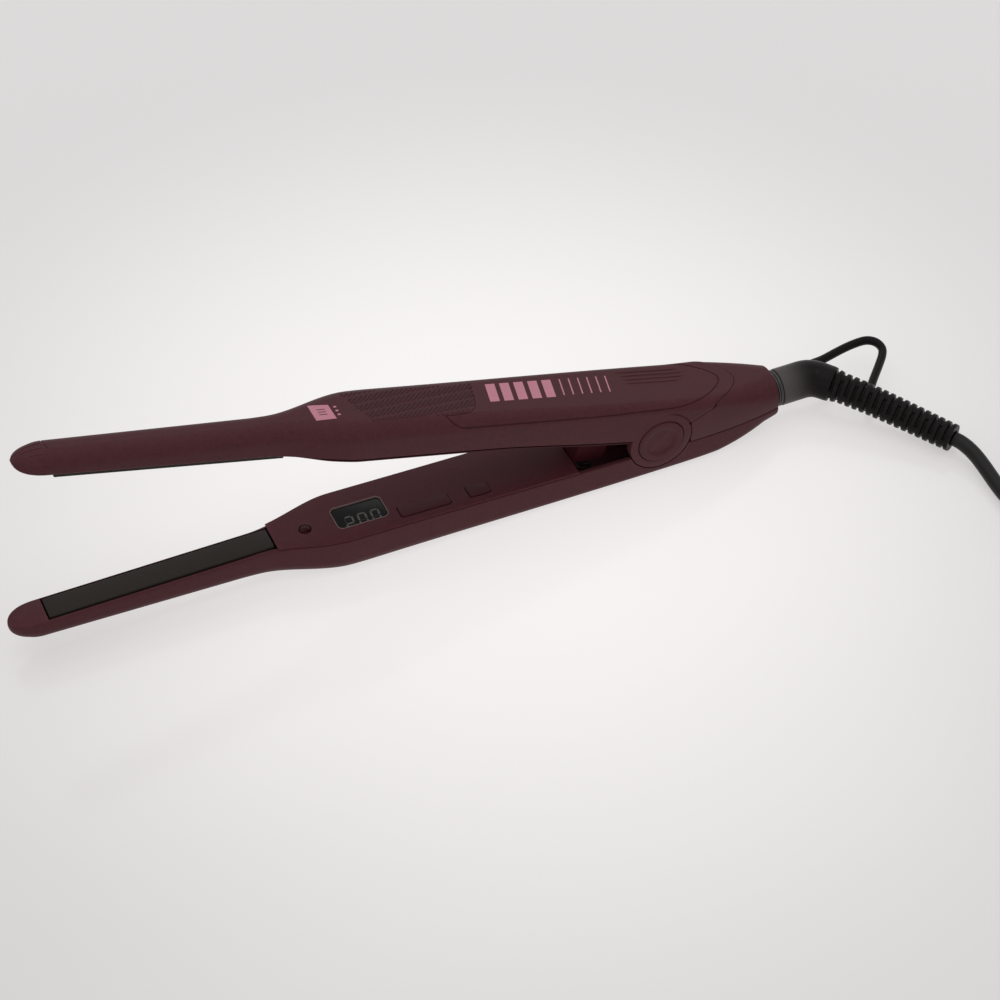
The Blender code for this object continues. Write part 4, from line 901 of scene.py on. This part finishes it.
def inner_cover():
    ob = loft("cover_inner_upper", [panel_section(x, GAP, up=True, thick=0.9) for x in span(PX0, -48.0, 1.3) + few_stations(-48.0, 46.0, 3.0)], plum_inner)
    cuts = []
    for sx in (-74.0, 20.0):
        cuts.append(cyl("Z", (sx, 0), 1.5, 0, 30, 24))
        cuts.append(cyl("Z", (sx, 0), 2.6, 0, rim_up(sx) - GAP - 0.75 + 0.9, 40))
    return opened(boolean(ob, cuts))


keep(inner_cover(), "upper_arm", "upper_inner_cover", slot="panel_plum")


def shroud():
    z0, z1 = 4.2, rim_up(37.0) - GAP - 0.75 - 0.3
    rings = []
    for z, d in ((z0, 0.5), (z0 + 0.15, 0.15), (z0 + 0.5, 0.0), (z1 - 1.0, 0.0), (z1, 0.0)):
        rings.append([(p[0], p[1], z) for p in rounded_rect(30.6 + d, 43.4 - d, -6.2 + d, 6.2 - d, 1.4, 6)])
    ob = loft("spring_guard", rings, plum_inner)
    return opened(boolean(ob, prism("c", rounded_rect(31.8, 42.2, -5.0, 5.0, 0.6, 4), 2.0, 14.4, "Z")))


keep(shroud(), "upper_arm", "spring_shroud", slot="panel_plum")

for nm, sx in (("front", -74.0), ("rear", 20.0)):
    zf = rim_up(sx) - GAP - 0.75
    pr = [(0.0, zf + 0.12), (1.7, zf + 0.12), (2.1, zf + 0.25), (2.2, zf + 0.45), (2.2, zf + 0.75), (1.05, zf + 0.85), (1.05, zf + 7.0), (0.0, zf + 7.8)]
    keep(opened(screw("screw_cover_" + nm, pr, (sx, 0.0), zf + 0.6, 1, screw_m)), "upper_arm", "cover_screw_" + nm, slot="screw_steel")


def inside_grip(x, s):
    front = -61.2 + 0.38 * (s + 5.1)
    rear = -13.3 - 0.39 * (s + 2.2)
    if s > 3.6:
        rear -= 0.42 * (s - 3.6) ** 1.35
    return front < x < rear and -8.3 < s < 8.0


def bar_on_skin(verts, faces, pts, w, h, sink=0.25):
    """Low rounded bar along (x, s) points, standing h above the face."""
    base = len(verts)
    m = len(pts)
    prof = ((-0.5, -sink), (-0.46, h * 0.55), (-0.25, h), (0.25, h), (0.46, h * 0.55), (0.5, -sink))
    for i, (x, s) in enumerate(pts):
        xa, sa = pts[max(0, i - 1)]
        xb, sb = pts[min(m - 1, i + 1)]
        t = Vector((xb - xa, sb - sa)).normalized()
        n = Vector((-t.y, t.x))
        k = 0.35 if i in (0, m - 1) else 1.0
        for u, z in prof:
            verts.append(tuple(skin(x + n.x * u * w * k, s + n.y * u * w * k, z if z < 0 or k == 1.0 else z * 0.3)))
    q = len(prof)
    for i in range(m - 1):
        for j in range(q):
            a, b = base + i * q + j, base + i * q + (j + 1) % q
            faces.append((a, b, b + q, a + q))
    faces.append(tuple(base + j for j in reversed(range(q))))
    faces.append(tuple(base + (m - 1) * q + j for j in range(q)))


def grip():
    """Slanting ribs, broken into short dashes by two fine lanes."""
    verts, faces = [], []
    pitch = 1.72
    for k in range(-12, 46):
        x0 = -63.0 + pitch * k
        run = []
        steps = 44
        for i in range(steps + 1):
            s = 8.2 - 16.6 * i / steps
            x = x0 + 1.12 * (8.2 - s)
            lane = abs(((s + 2.5 + 0.35 * k) % 5.2) - 2.6) > 2.38
            ok = inside_grip(x, s) and not lane
            if ok:
                run.append((x, s))
            if (not ok or i == steps) and run:
                if len(run) >= 3:
                    bar_on_skin(verts, faces, run, 0.86, 0.26)
                run = []
    return opened(solid("grip_ribs", verts, faces, grip_m))


keep(grip(), "upper_arm", slot="soft_plum")


def bars(name, rows, w, h, mat, slot="soft_plum"):
    verts, faces = [], []
    for row in rows:
        n = 12
        pts = [(row[0] + (row[2] - row[0]) * i / n, row[1] + (row[3] - row[1]) * i / n) for i in range(n + 1)]
        bar_on_skin(verts, faces, pts, w, h)
    return keep(opened(solid(name, verts, faces, mat)), "upper_arm", slot=slot)


bars("rear_ridges", [(45.5, -7.6, 71.5, -7.4), (46.5, -5.5, 73.0, -5.4), (47.0, -3.4, 72.0, -3.3), (47.0, -1.3, 69.5, -1.2)], 0.7, 0.24, plum)
bars("tip_ribs", [(-174.3, 0.4, -167.6, 0.6), (-174.1, -1.6, -167.3, -1.9), (-173.6, 2.4, -167.8, 3.0)], 0.7, 0.22, plum)


def decal(verts, faces, quad, nx=6, ns=8, lift=0.045, sink=0.06):
    """Thin printed patch between four (x, s) corners, following the face."""
    (ax, as_), (bx, bs), (cx, cs), (dx, ds) = quad
    base = len(verts)

    def at(u, v, d):
        x = (ax * (1 - u) + bx * u) * (1 - v) + (dx * (1 - u) + cx * u) * v
        s = (as_ * (1 - u) + bs * u) * (1 - v) + (ds * (1 - u) + cs * u) * v
        return tuple(skin(x, s, d))
    row = ns + 1
    for d in (lift, -sink):
        for i in range(nx + 1):
            for j in range(ns + 1):
                verts.append(at(i / nx, j / ns, d))
    off = (nx + 1) * row
    for i in range(nx):
        for j in range(ns):
            a = base + i * row + j
            faces.append((a, a + 1, a + 1 + row, a + row))
            faces.append((a + off, a + row + off, a + row + 1 + off, a + 1 + off))
    rim = [i * row for i in range(nx + 1)] + [nx * row + j for j in range(1, ns + 1)] + [i * row + ns for i in reversed(range(nx))] + [j for j in reversed(range(1, ns))]
    m = len(rim)
    for q in range(m):
        a, b = base + rim[q], base + rim[(q + 1) % m]
        faces.append((a, b, b + off, a + off))


def printed(name, quads, mat, lift=0.045):
    verts, faces = [], []
    for qd in quads:
        decal(verts, faces, qd, lift=lift)
    return keep(opened(solid(name, verts, faces, mat)), "upper_arm", slot="soft_plum")


# a plain pink tab with fine bars, three small marks, and a band of slanting strokes
printed("print_tab", [((-74.6, -4.2), (-67.7, -2.9), (-67.4, 4.4), (-74.4, 3.8))], pink)
printed("print_tab_bars", [((-72.4, -1.5 + 1.3 * k), (-69.6, -1.2 + 1.3 * k), (-69.6, -0.8 + 1.3 * k), (-72.4, -1.1 + 1.3 * k)) for k in range(3)], ink, lift=0.075)
printed("print_marks", [((-66.3, s), (-65.3, s), (-65.3, s + 0.75), (-66.3, s + 0.75)) for s in (-1.8, 0.2, 2.2)], pink)
strokes = []
for k in range(5):
    x = -7.0 + 5.55 * k
    strokes.append(((x, -6.4), (x + 3.7, -6.4), (x + 1.6, 3.0), (x - 2.1, 3.0)))
for k in range(6):
    x = 22.2 + 3.7 * k
    strokes.append(((x, -6.3), (x + 0.5, -6.3), (x - 1.6, 2.4), (x - 2.1, 2.4)))
printed("print_strokes", strokes, pink)

# ================================================================== SWIVEL, BOOT, LOOP
prof = [(0.0, 88.6), (3.6, 88.6), (4.4, 89.4), (4.4, 101.6), (7.6, 101.6), (7.6, 103.0), (6.75, 103.2), (6.75, 110.1)]
for k in range(3):
    x = 110.15 + 0.95 * k
    prof += [(6.70, x), (6.78, x + 0.12), (6.78, x + 0.52), (6.35, x + 0.64), (6.35, x + 0.84)]
prof += [(6.4, 113.0), (0.0, 113.0)]
keep(turned("neck_ring", prof, "X", (0, CORD_AXIS_Z), 72, neck_highlight_m), "cord_swivel", "swivel_neck", slot="neck_black")

E = Vector((ELBOW_X, 0.0, CORD_AXIS_Z))
B = Vector(BOOT_END)
RIBS = 17
FIRST = 0.13


def boot_curve(n):
    """Centre line from the neck round the elbow, then n steps of strain relief."""
    flat = math.hypot(B.x - E.x, B.y - E.y)
    mean = math.atan2(E.y - B.y, B.x - E.x)
    half = math.radians(5.5)
    lo_, hi_ = mean - half, mean + half
    rad = flat / (2 * math.sin(half))
    pts = [Vector((x, 0, CORD_AXIS_Z)) for x in (113.3, 113.38, 113.6, 114.0, 116.0, 118.0, 120.0, 121.7, 123.2)]

    def arc(t):
        a = lo_ + (hi_ - lo_) * t
        return Vector((E.x + rad * (math.sin(a) - math.sin(lo_)), E.y - rad * (math.cos(lo_) - math.cos(a)), 0))
    ax = arc(1.0) - arc(0.0)
    rot = math.atan2(B.y - E.y, B.x - E.x) - math.atan2(ax.y, ax.x)

    def relief(t):
        p = arc(t) - arc(0.0)
        q = Vector((p.x * math.cos(rot) - p.y * math.sin(rot), p.x * math.sin(rot) + p.y * math.cos(rot), 0)) + E
        s_ = smooth(0.0, 1.0, t)
        q.z = CORD_AXIS_Z + (B.z - CORD_AXIS_Z) * (0.5 * t + 0.5 * s_)
        return q
    a_, c_ = pts[-1].copy(), relief(0.071)
    for k in range(1, 18):
        u = k / 18.0
        pts.append(a_ * (1 - u) ** 2 + E * 2 * u * (1 - u) + c_ * u * u)
    for k in range(0, 6):
        pts.append(relief(0.071 + (FIRST - 0.071) * k / 6.0))
    lead = len(pts)
    for k in range(n + 1):
        pts.append(relief(FIRST + (1 - FIRST) * k / n))
    return pts, lead


def boot():
    PER = 12
    n = RIBS * PER + 6
    pts, lead = boot_curve(n)
    start = lead + 6

    def base_r(i):
        if i < 4:
            return COLLAR_R - (0.42, 0.16, 0.04, 0.0)[i]
        if i < lead:
            k = i / lead
            return COLLAR_R - 0.35 * smooth(0.35, 1.0, k)
        t = (i - lead) / float(n)
        return 6.55 - 0.85 * smooth(0.0, 0.10, t) - 0.62 * t

    def shape(i, ang):
        if i < start:
            return 1.0
        j = i - start
        k, u = divmod(j, PER)
        u = u / float(PER)
        # rib for u in 0.42..1, groove before it
        g = smooth(0.0, 0.10, u) * (1 - smooth(0.34, 0.44, u))
        if j >= RIBS * PER:
            g = 0.0
        # two bridges across each groove, turned a quarter from one groove to the next
        ph = (k % 2) * 0.5 * math.pi
        d = abs((ang - ph + math.pi / 2) % math.pi - math.pi / 2)
        bridge = 1 - smooth(0.30, 0.36, d)
        crown = 0.018 * math.sin(math.pi * min(1.0, max(0.0, (u - 0.40) / 0.60))) if u > 0.40 else 0.0
        return 1.0 + crown - (0.235 * (1 - bridge) + 0.05 * bridge) * g
    ob = sweep("boot_relief", pts, [base_r(i) for i in range(len(pts))], 80, boot_m, shape=shape, sharp=40)
    return ob, pts


boot_ob, boot_pts = boot()
tan = (boot_pts[-1] - boot_pts[-6]).normalized()
hole = sweep("c", [boot_pts[-1] + tan * 1.0, boot_pts[-8], boot_pts[-40]], CORD_D / 2 + 0.3, 40)
boolean(boot_ob, hole, sharp=40)

chord = Vector((B.x - E.x, B.y - E.y, 0)).normalized()
outw = Vector((-chord.y, chord.x, 0))
LOOP = ((-1.0, 7.9), (1.2, 13.0), (4.9, 21.2), (8.3, 27.1), (10.9, 29.8), (14.0, 30.4), (16.9, 28.7), (18.4, 25.2), (19.4, 19.3), (20.4, 12.0), (21.2, 7.2))
ctrl = [E + chord * a + outw * o + Vector((0, 0, -0.2 - 0.09 * a)) for a, o in LOOP]
lead_in = [E + chord * -2.6 + outw * 3.6 + Vector((0, 0, 0.1))]
lead_out = [E + chord * 21.8 + outw * 3.4 + Vector((0, 0, -2.2))]
lp = catmull(lead_in + ctrl + lead_out, 8)
lr = []
for i in range(len(lp)):
    t = i / (len(lp) - 1.0)
    lr.append(1.58 + 0.9 * (1 - smooth(0.0, 0.16, t)) + 0.7 * smooth(0.90, 1.0, t))
loop_ob = sweep("loop_ring", lp, lr, 24, boot_m, shape=lambda i, a: 1.0 + 0.10 * abs(math.sin(a)) ** 4)
keep(boot_ob, "cord_swivel", "cord_boot", slot="boot_black")
keep(loop_ob, "cord_swivel", "hanging_loop", slot="boot_black")

# ================================================================== CORD
COIL_R, COIL_HW, COIL_HH, COIL_Z = 28.5, 8.4, 10.6, 12.0
cx, cy = COIL_C
PLUG_AX = COIL_Z + COIL_HH + 0.35 + 5.9
path_cad, _ = boot_curve(38)
tan_cad = (path_cad[-1] - path_cad[-2]).normalized()
start = B + tan_cad * 0.6
zc = CORD_D / 2 + 0.05


def bez(p0, p1, p2, p3, t):
    return p0 * (1 - t) ** 3 + p1 * 3 * t * (1 - t) ** 2 + p2 * 3 * t * t * (1 - t) + p3 * t ** 3


p0, p3 = start, Vector((165.6, -74.0, zc))
end = Vector((cx - COIL_R - COIL_HW - CORD_D / 2 - GAP, cy, zc))
line = [bez(p0, p0 + tan_cad * 9.0, p3 + Vector((0, 12.0, 0)), p3, k / 14.0) for k in range(14)]
line += [bez(p3, p3 - Vector((0, 11.0, 0)), end + Vector((0, 11.0, 0)), end, k / 8.0) for k in range(8)]


def smootherstep(t):
    t = min(1.0, max(0.0, t))
    return t * t * t * (t * (6 * t - 15) + 10)


# Turns laid beside and on each other: two layers of three, then two of two in their hollows.
TURN_R, PITCH = 27.3, CORD_D * 1.015
slots = [(TURN_R + PITCH * k, zc) for k in (1, 0, -1)]
slots += [(TURN_R + PITCH * k, zc + PITCH) for k in (-1, 0, 1)]
slots += [(TURN_R + PITCH * k, zc + 1.88 * PITCH) for k in (0.5, -0.5)]
slots += [(TURN_R + PITCH * k, zc + 2.88 * PITCH) for k in (-0.5, 0.5)]


def coil_at(turn):
    """Point of the coil after so many turns from the side where the lead comes in."""
    k = min(int(turn), len(slots) - 1)
    k1 = min(k + 1, len(slots) - 1)
    w = smootherstep((turn - k - 0.72) / 0.28)
    r = slots[k][0] * (1 - w) + slots[k1][0] * w
    z = slots[k][1] * (1 - w) + slots[k1][1] * w
    r += (abs(end.x - cx) - slots[0][0]) * (1 - smootherstep(turn / 0.35))
    a = math.pi + 2 * math.pi * turn
    return Vector((cx + r * math.cos(a), cy + r * math.sin(a), z))


# The last turn runs up on to the coil's top and comes back in a wide half turn to the
# plug, which lies on the coil.
TURNS, UP, BACK_R = 9.68, PLUG_AX - 1.6, 17.5
body = [coil_at(TURNS * i / 460.0) for i in range(461)]
inlet = Vector((cx - 20.0 + 1.0, cy, UP))
p_, t_ = body[-1], (body[-1] - body[-2]).normalized()
top_ = Vector((inlet.x, cy + 2 * BACK_R, zc + 3.88 * PITCH))
tail = [bez(p_, p_ + t_ * 11.0, top_ + Vector((11.0, 0.0, -1.0)), top_, k / 12.0) for k in range(1, 12)]
for k in range(25):
    g = math.pi * k / 24.0
    tail.append(Vector((inlet.x - BACK_R * math.sin(g), cy + BACK_R + BACK_R * math.cos(g), top_.z + (UP - top_.z) * smootherstep(k / 24.0))))


def run_length(pts):
    return sum((b - a).length for a, b in zip(pts, pts[1:]))


def least_radius(pts):
    best = 999.0
    for a, b, c in zip(pts, pts[1:], pts[2:]):
        cr = (b - a).cross(c - b).length
        if cr > 1e-9:
            best = min(best, (b - a).length * (c - b).length * (c - a).length / (2 * cr))
    return best


full = line + body + tail
print("cord", round(run_length(full), 1), "mm long, tightest bend", round(least_radius(full), 1), "mm")
cv = bpy.data.curves.new("mains_cord", "CURVE")
cv.dimensions = "3D"
sp = cv.splines.new("POLY")
sp.points.add(len(full) - 1)
for q, p in zip(sp.points, full):
    q.co = (p.x * MM, p.y * MM, p.z * MM, 1.0)
cv.bevel_depth = CORD_D / 2 * MM
cv.bevel_resolution = 8
cv.use_fill_caps = True
cord_ob = bpy.data.objects.new("mains_cord", cv)
bpy.context.scene.collection.objects.link(cord_ob)
cv.materials.append(cord_m)
keep(cord_ob, "lower_arm", "cord_run", "cord_coil", slot="cord_black")


# ---- tie: hook and loop band round the bundle, with its free end lapped over
def tie():
    ta = math.radians(60.0)
    er = Vector((math.cos(ta), math.sin(ta), 0))
    et = Vector((-math.sin(ta), math.cos(ta), 0))
    n = 96
    rings = []
    for i in range(n + 15):
        b = 2 * math.pi * i / n - 0.6
        lap = 0.62 * smooth(n - 4, n + 3, i)
        cb, sb = math.cos(b), math.sin(b)
        rr = TURN_R + (PITCH + CORD_D / 2 + 0.5 + lap) * math.copysign(abs(cb) ** 0.62, cb)
        zz = 10.75 + (10.6 + lap) * math.copysign(abs(sb) ** 0.62, sb)
        zz = max(zz, 0.45)
        c = Vector((cx, cy, 0)) + er * rr + Vector((0, 0, zz))
        nrm = (er * cb + Vector((0, 0, 1)) * sb).normalized()
        ring = []
        for du, dn in ((-2.5, 0.0), (-2.35, -0.3), (2.35, -0.3), (2.5, 0.0), (2.35, 0.3), (0.0, 0.36), (-2.35, 0.3)):
            ring.append(tuple(c + et * du + nrm * dn))
        rings.append(ring)
    return loft("tie_band", rings, tie_m)


keep(tie(), "lower_arm", "cord_tie", slot="tie_black")


# ---- plug: flat two-pin body with finger grips and a ribbed tail
def superellipse(a, b, e, n=56):
    out = []
    for i in range(n):
        t = 2 * math.pi * (i + 0.5) / n
        c, s = math.cos(t), math.sin(t)
        out.append((a * math.copysign(abs(c) ** e, c), b * math.copysign(abs(s) ** e, s)))
    return out


def plug():
    rings = []

    def put(x, a, b, e, dz=0.0):
        rings.append([(cx + x, cy + p[0], PLUG_AX + dz + p[1]) for p in superellipse(a, b, e)])
    put(-20.0, 3.2, 3.2, 1.0, -1.7)
    put(-19.7, 3.6, 3.6, 1.0, -1.7)
    x = -19.4
    for k in range(5):                      # ribs of the tail
        r = 3.65 + 0.12 * k
        put(x, r, r, 1.0, -1.65)
        put(x + 1.0, r, r, 1.0, -1.62)
        put(x + 1.15, r - 0.55, r - 0.55, 1.0, -1.6)
        put(x + 1.9, r - 0.55, r - 0.55, 1.0, -1.58)
        x += 2.05
    put(-9.0, 4.4, 4.3, 0.98, -1.3)
    for t in [k / 10.0 for k in range(0, 11)]:
        w = smooth(0.0, 1.0, t)
        put(-8.6 + 7.6 * t, 4.5 + 6.1 * w, 4.35 + 1.15 * w, 0.98 - 0.30 * w, -1.3 * (1 - w))
    for t in [k / 8.0 for k in range(1, 9)]:
        pinch = 0.7 * math.sin(math.pi * t) ** 2
        put(-1.0 + 10.0 * t, 10.6 + 1.6 * t - pinch, 5.5 - 0.25 * math.sin(math.pi * t), 0.68)
    put(13.0, 12.25, 5.6, 0.66)
    put(15.6, 12.2, 5.6, 0.66)
    put(16.5, 12.0, 5.4, 0.66)
    put(16.9, 11.6, 5.05, 0.66)
    put(17.0, 11.1, 4.6, 0.66)
    ob = loft("plug_housing", rings, plug_m, sharp=38)
    grooves = []
    for s in (-1, 1):
        for k in range(4):
            x0 = cx + 1.2 + 2.1 * k
            grooves.append(prism("c", rounded_rect(x0, x0 + 0.8, cy - 5.6, cy + 5.6, 0.39, 4), min(PLUG_AX + s * 4.95, PLUG_AX + s * 8), max(PLUG_AX + s * 4.95, PLUG_AX + s * 8), "Z"))
    return boolean(ob, grooves, sharp=38)


plug_ob = keep(plug(), "lower_arm", "plug_body", slot="cord_black")
for nm, s in (("live", -1), ("neutral", 1)):
    x = cx + 17.3
    prof = [(0.0, x), (2.0, x), (2.0, x + 9.0), (1.94, x + 9.1), (1.94, x + 9.3), (2.0, x + 9.4), (2.0, x + 16.4)]
    prof += [(2.0 * math.cos(a), x + 16.4 + 1.9 * math.sin(a)) for a in [math.radians(10 * k) for k in range(1, 9)]] + [(0.0, x + 18.3)]
    keep(turned("pin_" + nm, prof, "X", (cy + s * 9.3, PLUG_AX), 40, nickel), "lower_arm", "plug_pin_" + nm, slot="pin_nickel")

spring_ob = keep(spring(), "lower_arm", "opening_spring", slot="steel")
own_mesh(spring_ob)

# ================================================================== materials of the CAD pieces that stay
board_m = surface("visual_board_green", (0.016, 0.085, 0.035), 0.42, vary=0.25, vary_mm=2.5, grain_mm=0.5, bump=0.1, coat=0.3)
module_m = surface("visual_module_grey", (0.22, 0.22, 0.21), 0.45, vary=0.1, bump=0.1)
emitter_m = surface("visual_emitter_white", (0.65, 0.62, 0.55), 0.4, vary=0.08, bump=0.06)
switch_m = surface("visual_switch_grey", (0.10, 0.10, 0.10), 0.45, vary=0.12, bump=0.1)
amber_m = surface("visual_capacitor_amber", (0.33, 0.15, 0.03), 0.3, vary=0.15, bump=0.05, coat=0.3)
brass_m = surface("visual_brass", (0.72, 0.50, 0.19), 0.28, metal=1.0, vary=0.1, grain_mm=0.15, bump=0.06)
film_m = surface("visual_heater_film", (0.42, 0.22, 0.05), 0.32, vary=0.15, bump=0.05)
acetal_m = surface("visual_bush_acetal", (0.72, 0.70, 0.64), 0.4, vary=0.06, bump=0.06)
silicone_m = surface("visual_cushion_silicone", (0.40, 0.09, 0.07), 0.6, vary=0.12, bump=0.12)
alu_m = surface("visual_sink_aluminium", (0.58, 0.58, 0.60), 0.34, metal=1.0, vary=0.08, grain_mm=0.2, bump=0.06, stretch=(1, 0.2, 1))
KEPT = {
    "circuit_board": board_m, "display_module": module_m, "led_emitter": emitter_m, "film_capacitor": amber_m, "power_triac": tray_m,
    "triac_heatsink": alu_m, "lower_plate_tray": tray_m, "upper_plate_tray": tray_m, "lower_heater": film_m, "upper_heater": film_m,
    "thermistor": amber_m, "thermal_fuse": steel, "hinge_pin": steel, "hinge_spacer": steel, "hinge_bush_left": acetal_m, "hinge_bush_right": acetal_m,
    "brush_contact_live": brass_m, "brush_contact_neutral": brass_m, "slip_ring_live": brass_m, "slip_ring_neutral": brass_m, "swivel_saddle": tray_m,
    "plate_cushion_front": silicone_m, "plate_cushion_rear": silicone_m, "tact_switch_minus": switch_m, "tact_switch_plus": switch_m, "tact_switch_power": switch_m,
}
for nm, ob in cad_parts.items():
    if ob.hide_render:
        continue
    m = KEPT.get(nm, tray_m)
    if nm not in KEPT:
        print("no finish chosen for", nm)
    if not ob.data.materials:
        ob.data.materials.append(m)
    for sl in ob.material_slots:
        sl.material = m

# ================================================================== floor, light
fl = bpy.data.meshes.new("floor")
S = 3.0
fl.from_pydata([(-S, -S, 0), (S, -S, 0), (S, S, 0), (-S, S, 0)], [], [(0, 1, 2, 3)])
floor = bpy.data.objects.new("floor", fl)
bpy.context.scene.collection.objects.link(floor)
floor.location = (0, 0, -0.0002)
fm = surface("visual_floor", (0.28, 0.274, 0.272), 0.16, vary=0.004, vary_mm=60.0, grain_mm=20.0, bump=0.0, rough_vary=0.02, specular=0.5)


def backlit(m):
    """A light table: glows most in the middle and less towards its edges."""
    nt = m.node_tree
    b = nt.nodes["Principled BSDF"]
    tc = next(n for n in nt.nodes if n.bl_idname == "ShaderNodeTexCoord")
    mp = nt.nodes.new("ShaderNodeMapping")
    mp.inputs["Location"].default_value = (0.0, 0.0, 0.0)
    mp.inputs["Scale"].default_value = (1.5, 1.5, 1.0)
    nt.links.new(tc.outputs["Object"], mp.inputs["Vector"])
    ln = nt.nodes.new("ShaderNodeVectorMath")
    ln.operation = "LENGTH"
    nt.links.new(mp.outputs["Vector"], ln.inputs[0])
    mr = nt.nodes.new("ShaderNodeMapRange")
    mr.interpolation_type = "SMOOTHSTEP"
    mr.inputs["From Min"].default_value = 0.03
    mr.inputs["From Max"].default_value = 0.42
    mr.inputs["To Min"].default_value = 0.675
    mr.inputs["To Max"].default_value = 0.375
    nt.links.new(ln.outputs["Value"], mr.inputs["Value"])
    b.inputs["Emission Color"].default_value = (1.0, 0.965, 0.960, 1.0)
    nt.links.new(mr.outputs["Result"], b.inputs["Emission Strength"])


backlit(fm)
fl.materials.append(fm)

w = bpy.data.worlds.new("studio")
bpy.context.scene.world = w
w.use_nodes = True
bg = w.node_tree.nodes["Background"]
bg.inputs["Color"].default_value = (0.96, 0.965, 0.98, 1.0)
bg.inputs["Strength"].default_value = 0.72


def area(name, loc, target, size, size_y, power, colour=(1, 1, 1)):
    d = bpy.data.lights.new(name, "AREA")
    d.shape = "RECTANGLE"
    d.size, d.size_y = size, size_y
    d.energy = power
    d.color = colour
    o = bpy.data.objects.new(name, d)
    bpy.context.scene.collection.objects.link(o)
    o.location = loc
    o.rotation_euler = (Vector(target) - Vector(loc)).to_track_quat("-Z", "Y").to_euler()
    return o


area("key_overhead", (0.0, 0.05, 1.3), (0.0, 0.0, 0.0), 1.6, 1.4, 5.0)
area("fill_front", (-0.9, -1.4, 0.9), (0.0, 0.0, 0.0), 1.4, 1.0, 2.5)
area("rim_back", (0.5, 1.2, 0.8), (0.0, 0.0, 0.0), 1.4, 0.5, 1.5)
bpy.context.scene.view_settings.view_transform = "Standard"
